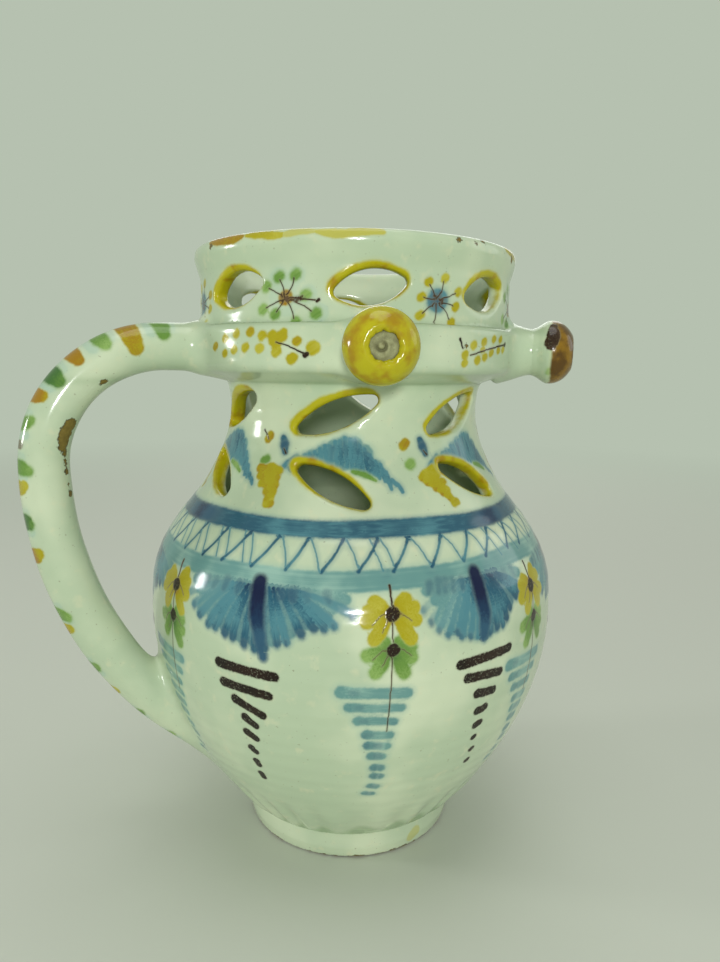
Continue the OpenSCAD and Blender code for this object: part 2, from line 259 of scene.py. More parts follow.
class Section:
    """Distance to a closed outline in a plane, kept on a fine grid and read smoothly."""

    def __init__(self, outline, low, high, pitch=0.4):
        self.low, self.pitch = np.array(low, float), pitch
        xs, ys = (np.arange(low[k], high[k] + pitch, pitch) for k in (0, 1))
        x, y = np.meshgrid(xs, ys, indexing="ij")
        near, inside = np.full(x.shape, 1e9), np.zeros(x.shape, bool)
        for a, b in zip(outline, np.roll(outline, -1, axis=0)):
            side = b - a
            length = side @ side
            if length < 1e-12:
                continue
            t = np.clip(((x - a[0]) * side[0] + (y - a[1]) * side[1]) / length, 0, 1)
            on_axis = abs(a[0]) < 1e-9 and abs(b[0]) < 1e-9
            if not on_axis:
                gap = (x - a[0] - t * side[0]) ** 2 + (y - a[1] - t * side[1]) ** 2
                near = np.minimum(near, gap)
            if side[1] != 0:
                spans = (y >= min(a[1], b[1])) & (y < max(a[1], b[1]))
                inside ^= spans & (x < a[0] + (y - a[1]) * side[0] / side[1])
        self.grid = np.where(inside, -1, 1) * np.sqrt(near)

    def __call__(self, x, y):
        out = 0
        spans = []
        for k, v in enumerate((x, y)):
            v = np.clip((v - self.low[k]) / self.pitch, 1, self.grid.shape[k] - 3.001)
            cell = v.astype(int)
            t = v - cell
            spans.append((cell, ((1 - t) ** 3 / 6, (3 * t ** 3 - 6 * t * t + 4) / 6,
                                 (-3 * t ** 3 + 3 * t * t + 3 * t + 1) / 6, t ** 3 / 6)))
        for i in range(4):
            for j in range(4):
                out = out + (spans[0][1][i] * spans[1][1][j]
                             * self.grid[spans[0][0] + i - 1, spans[1][0] + j - 1])
        return out


thrown_wall = Section(thrown, (-2, -3), (84, 206))
filled_wall = Section(filled, (-2, -3), (120, 206))


def joined(a, b, run_out):
    """Two bodies of clay with the joint between them smoothed over run_out mm."""
    h = np.clip(0.5 + 0.5 * (b - a) / run_out, 0, 1)
    return b + (a - b) * h - run_out * h * (1 - h)


def cut_from(clay, knife, softness):
    """The clay with the knife's shape taken out and the edge softened by the glaze."""
    return -joined(-clay, knife, softness)


# Slots, all between two distances from the axis: polar angles, height, length, width, lean,
# rise of the knife, radius of its pivot
slot_tip_r, slots_from, slots_to, far_off = 1.7, 25.0, 64.0, 99.0
neck_slots = (-176, -121, -65, -7, 52, 112)
slot_rows = ((neck_slots, 149.0, 26.0, 8.4, 23, 0, 0.0),
             (neck_slots, 129.2, 25.0, 8.0, -28, 20, neck_top_r + wall_t),
             ((-156, -109, -64, -19, 26, 71, 116, 161), 184.9, 20.6, 9.8, 10, 0, 0.0))


def nearest_turn(p, places):
    """Which place round the axis is nearest to each point, and the turn from there to it."""
    angle = np.degrees(np.arctan2(p[:, 1], p[:, 0]))
    gap = (angle[:, None] - np.array(places) + 180) % 360 - 180
    which = np.abs(gap).argmin(1)
    return which, np.radians(np.take_along_axis(gap, which[:, None], 1)[:, 0])


def slot_distance(p):
    """Distance to the nearest slot, negative inside it."""
    reach = np.hypot(p[:, 0], p[:, 1])
    best = np.full(len(p), far_off)
    for places, z, length, width, lean_by, rise, pivot in slot_rows:
        gap = nearest_turn(p, places)[1]
        out, side = reach * np.cos(gap) - pivot, reach * np.sin(gap)
        c, s = math.cos(math.radians(rise)), math.sin(math.radians(rise))
        up = -s * out + c * (p[:, 2] - z)
        c, s = math.cos(math.radians(lean_by)), math.sin(math.radians(lean_by))
        u, v = np.abs(side * c + up * s), np.abs(-side * s + up * c)
        half, deep = length / 2 - slot_tip_r, width / 2 - slot_tip_r
        arc = (half * half + deep * deep) / (2 * deep)
        at_tip = (u - half) * (arc - deep) > v * half
        away = np.where(at_tip, np.hypot(u - half, v), np.hypot(u, v + arc - deep) - arc)
        best = np.minimum(best, away - slot_tip_r)
    return np.where((reach > slots_from) & (reach < slots_to), best, far_off)


# The handle is a pulled tube: a straight start, a top bend and a long back
straight_l = 45.0
handle_r, handle_out, top_bend_r, back_bend_r = 7.3, 30.1, 36.0, 118.0
handle_turn = 60.0
handle_reach = belly_r + handle_out
top_x = handle_reach - top_bend_r
bend_z = duct_z - top_bend_r
back_x = handle_reach - back_bend_r


def along_handle(p):
    """Distance to the handle's centreline, and the length along it."""
    x, y, z = -p[:, 0], p[:, 1], p[:, 2]
    start = top_x - straight_l
    straight = np.clip(x, start, top_x)
    best_d, best_s = np.hypot(x - straight, z - duct_z), straight - start
    quarter = top_bend_r * math.pi / 2
    for centre, radius, first, last, begin in (
            (top_x, top_bend_r, 90.0, 0.0, top_x - start),
            (back_x, back_bend_r, 0.0, -handle_turn, top_x - start + quarter)):
        turn = np.clip(np.degrees(np.arctan2(z - bend_z, x - centre)), last, first)
        c, s = np.cos(np.radians(turn)), np.sin(np.radians(turn))
        gap = np.hypot(x - centre - radius * c, z - bend_z - radius * s)
        nearer = gap < best_d
        best_d = np.where(nearer, gap, best_d)
        best_s = np.where(nearer, begin + radius * np.radians(first - turn), best_s)
    return np.hypot(best_d, y), best_s


# A nozzle is turned like a small pawn: root, waist, round head with a mouth, and a bore
nozzle_step, head_out, dome_l, head_r, throat_r, throat_l = 72.0, 11.8, 6.8, 10.2, 7.5, 6.8
nozzle_flare, bore_r, mouth_r, mouth_depth, mouth_round = 2.4, 3.2, 3.9, 3.4, 1.4
nozzle_at = [(k - 1.5) * nozzle_step for k in range(4)]
head_at = collar_r + head_out
tip_x = head_at + dome_l
dome = smooth_line([[head_r * r, head_at + dome_l * x] for x, r in (
    (0, 1), (0.2, 0.985), (0.4, 0.94), (0.6, 0.86), (0.78, 0.75), (0.92, 0.62))]
    + [[mouth_r + mouth_round, tip_x], [mouth_r + mouth_round * 0.3, tip_x - mouth_round * 0.3],
       [mouth_r, tip_x - mouth_round]], 4)
waist = smooth_line([[throat_r + nozzle_flare, collar_r - 5], [throat_r + 1.1, collar_r]]
                    + [[throat_r + (head_r - throat_r) * r, head_at - throat_l * x] for x, r in (
                        (1, 0), (0.82, 0.06), (0.62, 0.27), (0.4, 0.66), (0.18, 0.96))], 4)
open_nozzle = np.vstack([[[0, collar_r - 5]], waist, dome, [[mouth_r, tip_x - mouth_depth],
                        [bore_r, tip_x - mouth_depth - 0.6], [bore_r, collar_r - 3],
                        [0, collar_r - 3]]])
closed_nozzle = np.vstack([[[0, collar_r - 5]], waist, dome, [[mouth_r, tip_x - mouth_depth],
                           [0, tip_x - mouth_depth]]])
open_head = Section(open_nozzle, (-2, 30), (24, 84), 0.25)
closed_head = Section(closed_nozzle, (-2, 30), (24, 84), 0.25)


def along_nozzle(p):
    """Nearest nozzle's number, length along its axis and distance from its axis."""
    which, gap = nearest_turn(p, nozzle_at)
    reach = np.hypot(p[:, 0], p[:, 1])
    return which, reach * np.cos(gap), np.hypot(reach * np.sin(gap), p[:, 2] - duct_z)


# Hand-made unevenness in mm: the body out of round and tilted, finger rings of the throwing
# 5 mm apart, and scraping marks, thirty round the jug, from the foot up to scraped_z. Then how
# far the joints of handle and nozzles and the slots' edges are smoothed.
out_of_round, three_sided, tilted = 0.16, 0.09, 0.12
ring_depth, ring_turn, scrape_depth, scrapes, scraped_z = 0.035, 1.26, 0.42, 30, 30.0
handle_joint, nozzle_joint, slot_edge = 5.5, 4.6, 1.9


def clay(p):
    """Distance to the surface of the jug's clay, hand-made wobble included."""
    angle = np.arctan2(p[:, 1], p[:, 0])
    reach = np.hypot(p[:, 0], p[:, 1])
    z = p[:, 2]
    above_foot = np.clip((z - 8) / 30, 0, 1)
    out = reach + above_foot * (out_of_round * np.sin(2 * angle + z / 40)
                                + three_sided * np.sin(3 * angle + 1 - z / 23))
    body = thrown_wall(out, z + tilted * above_foot * np.sin(angle * 2 + 2))
    rings = ring_depth * np.sin(z * ring_turn + 0.6 * np.sin(angle + z / 17))
    scraped = np.clip((z - foot_h) / 3, 0, 1) * np.clip((scraped_z - z) / 9, 0, 1)
    flutes = scrape_depth * np.cos(angle * scrapes + 2.2 * np.sin(angle * 5) + 0.05 * z) * scraped
    outside = np.clip((out - 20) / 10, 0, 1)
    body = body + (rings * np.clip((z - 24) / 12, 0, 1) + flutes) * outside
    gap, run_along = along_handle(p)
    bar = gap - handle_r - 0.12 * np.sin(run_along / 19) - 0.05 * np.sin(run_along / 4.1)
    bar = cut_from(bar, filled_wall(reach, z) + 3.0, 0.6)
    body = joined(body, np.where(p[:, 0] < 0, bar, far_off), handle_joint)
    which, x, rho = along_nozzle(p)
    ragged = 0.3 + 0.3 * np.sin(2.3 * z + 1.1 * p[:, 0]) * np.sin(1.9 * p[:, 0] - 1.4 * z)
    lapped = rho + ragged * (x > tip_x - 1.6) * np.clip((mouth_r + 1.5 - rho) / 1.5, 0, 1)
    head = np.where(which == 0, closed_head(lapped, x), open_head(rho, x))
    head = np.where((x > 48) & (rho < 21), head, far_off)
    body = joined(body, head, nozzle_joint)
    bore = np.maximum(rho - bore_r, collar_r - 3 - x)
    body = np.where((which > 0) & (rho < 9) & (x > 50), np.maximum(body, -bore), body)
    return cut_from(body, slot_distance(p), slot_edge)


def steepest(p, h=0.25):
    """Slope of the clay's distance field at each point."""
    slope = np.empty_like(p)
    for k in range(3):
        step = np.zeros(3)
        step[k] = h
        slope[:, k] = (clay(p + step) - clay(p - step)) / (2 * h)
    return slope


def settle(p):
    """Move points onto the clay's surface along the field's slope."""
    slope = steepest(p, 0.15)
    size = np.maximum((slope ** 2).sum(1), 0.25)
    return p - slope * np.clip(clay(p) / size, -0.6, 0.6)[:, None]


skin_low, skin_high = np.array([-111.0, -76.0, -3.0]), np.array([75.0, 76.0, 204.0])
corners = [(i, j, k) for i in (0, 1) for j in (0, 1) for k in (0, 1)]


def at_corner(grid, corner, size):
    """The part of a grid that starts at one corner and has the given size."""
    return grid[tuple(slice(first, first + count) for first, count in zip(corner, size))]


def skin_of_clay(pitch, block=4, batch=400000):
    """Vertices and triangles of the clay's surface, about pitch mm apart."""
    low = skin_low
    count = np.ceil((skin_high - low) / pitch / block).astype(int) * block + 1
    axes = [low[k] + pitch * np.arange(0, count[k], block) for k in range(3)]
    rough = clay(np.stack(np.meshgrid(*axes, indexing="ij"), -1).reshape(-1, 3))
    rough = rough.reshape([len(a) for a in axes])
    # Only the blocks of cells near the surface are worked out finely
    close = np.abs(rough) < pitch * block * 1.75
    blocks = np.any([at_corner(close, c, np.array(close.shape) - 1) for c in corners], axis=0)
    near, coarse = np.zeros(count, bool), rough
    for axis in range(3):
        blocks, coarse = np.repeat(blocks, block, axis), np.repeat(coarse, block, axis)
    near[:-1, :-1, :-1] = blocks
    near[1:, 1:, 1:] |= blocks
    field = (np.sign(at_corner(coarse, (0, 0, 0), count)) * far_off).astype(np.float32)
    spots = np.argwhere(near)
    for part in np.array_split(spots, max(1, len(spots) // batch)):
        field[tuple(part.T)] = clay(low + pitch * part)
    inside = field < 0
    cells = tuple(c - 1 for c in count)
    filled_corners = np.zeros(cells, np.int8)
    for corner in corners:
        filled_corners += at_corner(inside, corner, cells)
    cell = np.argwhere((filled_corners > 0) & (filled_corners < 8))
    total, hits = np.zeros((len(cell), 3)), np.zeros(len(cell))
    for a, axis in ((a, axis) for a in corners for axis in range(3) if not a[axis]):
        b = tuple(a[k] + (k == axis) for k in range(3))
        fa, fb = field[tuple((cell + a).T)], field[tuple((cell + b).T)]
        crosses = (fa < 0) != (fb < 0)
        spot = np.repeat(np.array(a, float)[None], len(cell), 0)
        spot[:, axis] = np.where(crosses, fa / np.where(crosses, fa - fb, 1), 0)
        total += spot * crosses[:, None]
        hits += crosses
    verts = low + pitch * (cell + total / hits[:, None])
    number = np.full(cells, -1, np.int32)
    number[tuple(cell.T)] = np.arange(len(cell))
    quads = []
    for axis in range(3):
        u, v = (axis + 1) % 3, (axis + 2) % 3
        ahead_of = [slice(None)] * 3
        ahead_of[axis] = slice(1, None)
        back_of = [slice(None)] * 3
        back_of[axis] = slice(None, -1)
        change = inside[tuple(ahead_of)] != inside[tuple(back_of)]
        edge = np.argwhere(change)
        edge = edge[(edge[:, [u, v]] > 0).all(1) & (edge[:, u] < cells[u]) & (edge[:, v] < cells[v])]
        quad = []
        for du, dv in ((-1, -1), (0, -1), (0, 0), (-1, 0)):
            spot = edge.copy()
            spot[:, u] += du
            spot[:, v] += dv
            quad.append(number[tuple(spot.T)])
        quad = np.stack(quad, 1)
        flip = ~inside[tuple(edge.T)]
        quad[flip] = quad[flip][:, ::-1]
        quads.append(quad)
    quads = np.vstack(quads)
    pairs = np.vstack([quads[:, [k, (k + 1) % 4]] for k in range(4)])
    links = np.bincount(pairs.ravel(), minlength=len(verts))
    for _ in range(3):
        verts = settle(verts)
        pull = np.zeros_like(verts)
        for k in range(3):
            pull[:, k] = np.bincount(pairs[:, 0], verts[pairs[:, 1], k], len(verts))
            pull[:, k] += np.bincount(pairs[:, 1], verts[pairs[:, 0], k], len(verts))
        verts += 0.5 * (pull / links[:, None] - verts)
    verts = settle(settle(verts))
    short = (np.linalg.norm(verts[quads[:, 0]] - verts[quads[:, 2]], axis=1)
             <= np.linalg.norm(verts[quads[:, 1]] - verts[quads[:, 3]], axis=1))
    tris = np.vstack([quads[short][:, [0, 1, 2]], quads[short][:, [0, 2, 3]],
                      quads[~short][:, [1, 2, 3]], quads[~short][:, [1, 3, 0]]])
    return verts, tris


def score(verts, tris, level):
    """Split every triangle that the zero line of level crosses, so pieces part cleanly there."""
    side = level > 0
    kept = side[tris].sum(1)
    crossed = (kept == 1) | (kept == 2)
    whole, cut = tris[~crossed], tris[crossed]
    lone = np.where(kept[crossed] == 1, side[cut].argmax(1), (~side[cut]).argmax(1))
    cut = np.take_along_axis(cut, (lone[:, None] + np.arange(3)) % 3, 1)
    a, b, c = cut.T
    edges = np.sort(np.vstack([np.c_[a, b], np.c_[a, c]]), axis=1)
    edges, back = np.unique(edges, axis=0, return_inverse=True)
    back = back.ravel()
    t = level[edges[:, 0]] / (level[edges[:, 0]] - level[edges[:, 1]])
    fresh = verts[edges[:, 0]] * (1 - t[:, None]) + verts[edges[:, 1]] * t[:, None]
    ab, ac = len(verts) + back[:len(cut)], len(verts) + back[len(cut):]
    tris = np.vstack([whole, np.c_[a, ab, ac], np.c_[ab, b, c], np.c_[ab, c, ac]])
    return np.vstack([verts, fresh]), tris


# Handle and nozzles part from the body 1.4 mm outside the thrown wall
root_line = 1.4
fine_pitch, quick_pitch = 1.0, 1.5
verts, tris = skin_of_clay(fine_pitch)
for height in (foot_h, joint_z, collar_z, crown_z):
    verts, tris = score(verts, tris, verts[:, 2] - height)
verts, tris = score(verts, tris, filled_wall(np.hypot(verts[:, 0], verts[:, 1]), verts[:, 2])
                    - root_line)
slope = steepest(verts)
normals = slope / np.linalg.norm(slope, axis=1)[:, None]
middle = verts[tris].mean(1)
proud = filled_wall(np.hypot(middle[:, 0], middle[:, 1]), middle[:, 2]) > root_line
on_handle = proud & (middle[:, 0] < 0) & (np.abs(middle[:, 1]) < 22)
on_nozzle = proud & ~on_handle & (middle[:, 2] > waist_z)
on_body = ~on_handle & ~on_nozzle
print("clay skin:", len(verts), "vertices", len(tris), "triangles")


# The tin glaze is an opaque white lead glaze, dipped and fired to a glassy, faintly green
# skin. Metal colours are brushed on before firing and melt into it, so each stroke keeps its
# hair marks, softens at its edge and bleeds a little. The colours carry this from layer to
# layer: a watery cobalt wash, strong cobalt, copper green, antimony yellow, manganese brown.
chance = np.random.default_rng(20)
COLOURS = ("wash", "cobalt", "ink", "green", "yellow", "brown")
strokes = {name: [] for name in COLOURS}
wall_r = outer_line[np.argsort(outer_line[:, 1], kind="stable")]
# In mm: strokes are laid in short steps and kept in stretches of ten of them, a colour that
# bleeds is looked for farther off than a sharp one, and 9 stands for no stroke near
brush_step, stretch = 1.6, 10
bleed_reach, fine_reach, no_stroke, one_sided = 3.6, 2.2, 9.0, 2.6


def on_wall(path):
    """Places on the outer wall, in mm, from degrees right of the front and heights."""
    path = np.asarray(path, float)
    r = np.interp(path[:, 1], wall_r[:, 1], wall_r[:, 0])
    angle = around(path[:, 0])
    return np.c_[r * np.cos(angle), r * np.sin(angle), path[:, 1]]


def brush(pigment, path, width, tone=0.5, place=on_wall):
    """Lay one brush stroke of the given width or widths in mm along the path."""
    path = np.asarray(path, float)
    if len(path) == 2:
        path = np.vstack([path[0], path.mean(0), path[1]])
    rough = place(path)
    length = np.linalg.norm(np.diff(rough, axis=0), axis=1).sum()
    steps = max(2, int(math.ceil(length / brush_step / (len(path) - 1))))
    fine = smooth_line(path, steps)
    share = np.linspace(0, 1, len(fine))
    widths = np.interp(share, np.linspace(0, 1, np.size(width)), np.atleast_1d(width)) / 2
    tones = np.interp(share, np.linspace(0, 1, np.size(tone)), np.atleast_1d(tone))
    points = place(fine)
    for k in range(0, len(points) - 1, stretch):
        end = k + stretch + 1
        strokes[pigment].append((points[k:end], widths[k:end], tones[k:end], k > 0,
                                 end < len(points)))


def dab(pigment, azimuth, height, size, tone=0.5, lean=(0.3, 0.2), place=on_wall):
    """One round touch of the brush, size mm across."""
    scale = math.degrees(1 / max(np.hypot(*place([[azimuth, height]])[0, :2]), 1))
    brush(pigment, [[azimuth - lean[0] * scale, height - lean[1]],
                    [azimuth + lean[0] * scale, height + lean[1]]], size, tone, place)


def paint(mesh, points, faces):
    """Store, on every face corner, its place in the nearest stroke of each pigment.

    Red is the place across the stroke, green how far past its nearer end, blue its half
    width, all in mm, and alpha is one plus the tone, or nothing where no stroke is near.
    """
    corners = points[faces]
    facing = np.cross(corners[:, 1] - corners[:, 0], corners[:, 2] - corners[:, 0])
    places = np.vstack([points, corners.mean(1)])
    order = np.argsort(places[:, 2])
    heights = places[order, 2]
    for pigment in COLOURS:
        reach = bleed_reach if pigment in ("wash", "cobalt") else fine_reach
        best, owner = np.full(len(places), reach), np.full(len(places), -1)
        for index, (line, half, tone, _, _) in enumerate(strokes[pigment]):
            low, high = line.min(0) - reach - half.max(), line.max(0) + reach + half.max()
            first, last = np.searchsorted(heights, [low[2], high[2]])
            near = order[first:last]
            near = near[((places[near, :2] > low[:2]) & (places[near, :2] < high[:2])).all(1)]
            if not len(near):
                continue
            gap, segment, t = nearest(places[near], line)
            gap = gap - (half[segment] * (1 - t) + half[segment + 1] * t)
            closer = gap < best[near]
            best[near[closer]] = gap[closer]
            owner[near[closer]] = index
        corner_best, owner = best[faces], owner[len(points):]
        values = np.zeros((len(faces) * 3, 4), np.float32)
        values[:, :2] = no_stroke
        for index in np.unique(owner[owner >= 0]):
            line, half, tone, follows, leads = strokes[pigment][index]
            mine = np.flatnonzero(owner == index)
            spots = corners[mine].reshape(-1, 3)
            gap, segment, t = nearest(spots, line)
            way = line[segment + 1] - line[segment]
            size = np.linalg.norm(way, axis=1)
            runs = np.r_[0, np.cumsum(np.linalg.norm(np.diff(line, axis=0), axis=1))]
            raw = ((spots - line[segment]) * way).sum(1) / size
            along = runs[segment] + np.where((segment == 0) & (raw < 0), raw, t * size)
            at_end = (segment == len(line) - 2) & (raw > size)
            along = np.where(at_end, runs[-1] + raw - size, along)
            before = -no_stroke if follows else -along
            after = -no_stroke if leads else along - runs[-1]
            past = np.maximum(before, after) + np.zeros(len(along))
            half_here = half[segment] * (1 - t) + half[segment + 1] * t
            over = np.maximum(past, 0)
            across = np.sqrt(np.maximum(gap ** 2 - over ** 2, 0))
            # A corner that lies nearer to another stroke than to its face's own is drawn in
            # to that distance, so that no pale line shows where two strokes meet
            draw_in = np.clip((corner_best[mine].ravel() + half_here) / np.maximum(gap, 1e-6), 0, 1)
            # Only where a stroke's middle line really crosses a face do its corners lie on
            # both sides of it. Behind the wall, all three count as on one side.
            side = np.cross(np.repeat(facing[mine], 3, 0), way)
            sign = np.where(((spots - line[segment]) * side).sum(1) > 0, 1.0, -1.0)
            width = np.ptp(corners[mine], axis=1).max(1)
            crossed = across.reshape(-1, 3).sum(1) < one_sided * width
            across = np.where(np.repeat(crossed, 3), across * sign, across) * draw_in
            rows = (mine[:, None] * 3 + np.arange(3)).ravel()
            values[rows, 0] = across
            values[rows, 1] = np.where(past > 0, past * draw_in, past)
            values[rows, 2] = half_here
            values[rows, 3] = 1 + tone[segment] * (1 - t) + tone[segment + 1] * t
        layer = mesh.attributes.new(pigment, "FLOAT_COLOR", "CORNER")
        layer.data.foreach_set("color", values.ravel())


def nearest(spots, points):
    """Distance from each spot to a line of points, the nearest stretch and the place on it."""
    starts, ways = points[:-1], np.diff(points, axis=0)
    rel = spots[:, None] - starts
    t = np.clip((rel * ways).sum(2) / np.maximum((ways ** 2).sum(1), 1e-9), 0, 1)
    gap = np.linalg.norm(rel - t[..., None] * ways, axis=2)
    segment = gap.argmin(1)
    rows = np.arange(len(spots))
    return gap[rows, segment], segment, t[rows, segment]


# The darkest glaze green is partly thick run glaze and partly painted shade above the foot and under
# collar and crown
glaze_white, glaze_thin, glaze_pooled, glaze_run_and_shade = "#CEDABA", "#D4D6B2", "#B6C8A8", "#93AB84"
speck_colour, pale_yellow, gold, ochre = "#7A7254", "#C2C88C", "#B4AC04", "#A28200"
chip_edge, clay_dark, clay_light = "#453A20", "#55481C", "#94803C"
# Each pigment: its colour where thin, even and thick, the share of the glaze that it covers,
# bleed in mm, strength of its brush hairs, softness of its edge in mm, and pin-prick grain,
# which the brown alone dries with
pigments = {"wash": ("#92B8AA", "#62928E", "#326476", 0.95, 1.9, 0.5, 0.45, 0.0),
            "cobalt": ("#4E848E", "#24566C", "#123452", 0.97, 1.5, 0.6, 0.50, 0.0),
            "ink": ("#2E566E", "#123050", "#08123A", 0.98, 1.0, 0.5, 0.85, 0.0),
            "green": ("#8CAE5C", "#628C34", "#356424", 0.95, 1.0, 0.7, 0.45, 0.0),
            "yellow": ("#B8B23A", "#A89E00", "#9A7200", 0.97, 0.6, 0.6, 0.25, 0.0),
            "brown": ("#5E4A34", "#2A190F", "#1A0F08", 1.00, 0.5, 0.5, 0.10, 0.26)}
added, less, times = {"operation": "ADD"}, {"operation": "SUBTRACT"}, {"operation": "MULTIPLY"}
scaled, shared = {"operation": "MULTIPLY_ADD"}, {"operation": "DIVIDE"}
smaller, larger, root = {"operation": "MINIMUM"}, {"operation": "MAXIMUM"}, {"operation": "SQRT"}
smooth, tinted = {"interpolation_type": "SMOOTHSTEP"}, {"data_type": "RGBA"}


def glaze_look(name, head_colour, amber, mottled):
    """A fired tin glaze with brushed colours in it, read from the strokes on each corner."""
    look = bpy.data.materials.new(name)
    tree = emptied_tree(look)
    place = add(tree, "TexCoord").outputs["Object"]
    # Pools and thin places 20 to 40 mm wide, crawling 4 mm wide, specks and grain under 1 mm
    cloud, drift, blotch, crawl, waver, sandy, speck, grain = (
        add(tree, "TexNoise", None, place, *fineness) for fineness in (
            (32.0, 3.0), (95.0,), (210.0, 3.0), (240.0, 3.0), (420.0,), (900.0,), (1100.0, 1.0),
            (1900.0, 1.0)))
    share = add(tree, "MapRange", smooth, cloud, 0.3, 0.62)
    shade = add(tree, "Mix", tinted, share, colour(glaze_white), colour(glaze_pooled))
    share = add(tree, "MapRange", smooth, crawl, 0.56, 0.78, 0.0, 0.5)
    shade = add(tree, "Mix", tinted, share, shade, colour(glaze_thin))
    # Glaze run thick above the foot and under collar and crown, darkened further there as painted
    # shade
    share = add(tree, "Attribute", {"attribute_name": "pooled_glaze_and_shade"}).outputs["Fac"]
    share = add(tree, "Math", times, share, add(tree, "Math", scaled, cloud, 0.8, 0.5))
    shade = add(tree, "Mix", tinted, share, shade, colour(glaze_run_and_shade))
    share = add(tree, "MapRange", smooth, speck, 0.735, 0.78, 0.0, 0.45)
    shade = add(tree, "Mix", tinted, share, shade, colour(speck_colour))
    waver = add(tree, "Math", scaled, waver, 1.1, -0.55)
    waver = add(tree, "Math", added, waver, add(tree, "Math", scaled, grain, 0.5, -0.25))
    uneven = add(tree, "Math", scaled, drift, 1.1, -0.55)
    relief = add(tree, "Math", times, crawl, 0.5)
    for pigment in COLOURS:
        thin, even, thick, cover, bleed, hairy, blur, pricked = pigments[pigment]
        if pigment == "brown":
            # Slots and nozzle heads were painted yellow before the brown, orange where thick
            rim = add(tree, "Attribute", {"attribute_name": "painted_edge"}).outputs["Fac"]
            rim = add(tree, "Math", scaled, uneven, 1.9, rim)
            rim = add(tree, "Math", scaled, waver, 0.5, rim)
            share = add(tree, "MapRange", smooth, rim, -1.2, 0.2, 0.0, 0.35)
            shade = add(tree, "Mix", tinted, share, shade, colour(pale_yellow))
            share = add(tree, "Math", scaled, crawl, 0.4, blotch)
            share = add(tree, "MapRange", smooth, share, mottled, mottled + 0.3)
            painted = add(tree, "Mix", tinted, share, colour(head_colour), colour(amber))
            share = add(tree, "MapRange", smooth, rim, -0.4, 0.6, 0.0, 0.98)
            shade = add(tree, "Mix", tinted, share, shade, painted)
        data = add(tree, "Attribute", {"attribute_name": pigment})
        across, past, half = add(tree, "SeparateColor", None, data).outputs
        over = add(tree, "Math", larger, past, 0.0)
        gap = add(tree, "Math", scaled, across, across, add(tree, "Math", times, over, over))
        gap = add(tree, "Math", less, add(tree, "Math", root, gap), half)
        # Thin lines keep a steady hand and a sharp edge, broad strokes waver and soften more
        broad = add(tree, "Math", smaller, add(tree, "Math", times, half, 0.7), 1.0)
        gap = add(tree, "Math", scaled, waver, add(tree, "Math", times, broad, 0.65), gap)
        soft = add(tree, "Math", scaled, broad, blur, 0.12)
        there = add(tree, "Math", smaller, data.outputs["Alpha"], 1.0)
        inside = add(tree, "Math", shared, gap, soft)
        inside = add(tree, "MapRange", smooth, inside, -1.0, 0.8, 1.0, 0.0)
        inside = add(tree, "Math", times, inside, there)
        hair_at = add(tree, "CombineXYZ", None, add(tree, "Math", times, across, 1.5),
                      add(tree, "Math", times, past, 0.16), add(tree, "Math", times, half, 31.0))
        hair = add(tree, "TexNoise", None, hair_at, 1.0, 3.0)
        strength = add(tree, "Math", scaled, hair, hairy, -1.0 - 0.5 * hairy)
        strength = add(tree, "Math", added, strength, data.outputs["Alpha"])
        strength = add(tree, "Math", added, strength, uneven)
        share = add(tree, "MapRange", smooth, strength, 0.0, 0.5)
        tint = add(tree, "Mix", tinted, share, colour(thin), colour(even))
        share = add(tree, "MapRange", smooth, strength, 0.5, 1.0)
        tint = add(tree, "Mix", tinted, share, tint, colour(thick))
        share = add(tree, "MapRange", smooth, gap, bleed, 0.0, 0.0, 0.42)
        share = add(tree, "Math", times, share, there)
        halo = [0.7 * a + 0.3 * b for a, b in zip(colour(thin), colour(glaze_pooled))]
        shade = add(tree, "Mix", tinted, share, shade, halo)
        if pricked:
            share = add(tree, "MapRange", smooth, grain, 0.58, 0.70, 0.0, -pricked)
            share = add(tree, "Math", scaled, share, broad, 1.0)
            inside = add(tree, "Math", times, inside, share)
        shade = add(tree, "Mix", tinted, add(tree, "Math", times, inside, cover), shade, tint)
        relief = add(tree, "Math", scaled, inside, 1.2 if pricked else 0.2, relief)
    # The fired clay shows where the glaze is rubbed or chipped off. The glaze is glassy, its
    # IOR a little under window glass so that its gloss stays as soft as the real one's.
    bare = add(tree, "Attribute", {"attribute_name": "bare_clay"}).outputs["Fac"]
    bare = add(tree, "Math", scaled, waver, 2.2, bare)
    share = add(tree, "MapRange", smooth, bare, -0.5, 0.0)
    shade = add(tree, "Mix", tinted, share, shade, colour(chip_edge))
    bare = add(tree, "MapRange", smooth, bare, -0.15, 0.2)
    sand = add(tree, "Mix", tinted, sandy, colour(clay_dark), colour(clay_light))
    shade = add(tree, "Mix", tinted, bare, shade, sand)
    relief = add(tree, "Math", scaled, bare, -2.5, relief)
    skin = add(tree, "Bump", Height=relief, Strength=0.5, Distance=0.00006)
    gloss = add(tree, "MapRange", smooth, cloud, 0.3, 0.7, 0.11, 0.17)
    gloss = add(tree, "Math", scaled, bare, 0.6, gloss)
    finish = add(tree, "BsdfPrincipled", Base_Color=shade, Roughness=gloss, IOR=1.38, Normal=skin)
    add(tree, "OutputMaterial", Surface=finish)
    return look


tin_glaze = glaze_look("painted_tin_glaze", gold, ochre, 0.68)


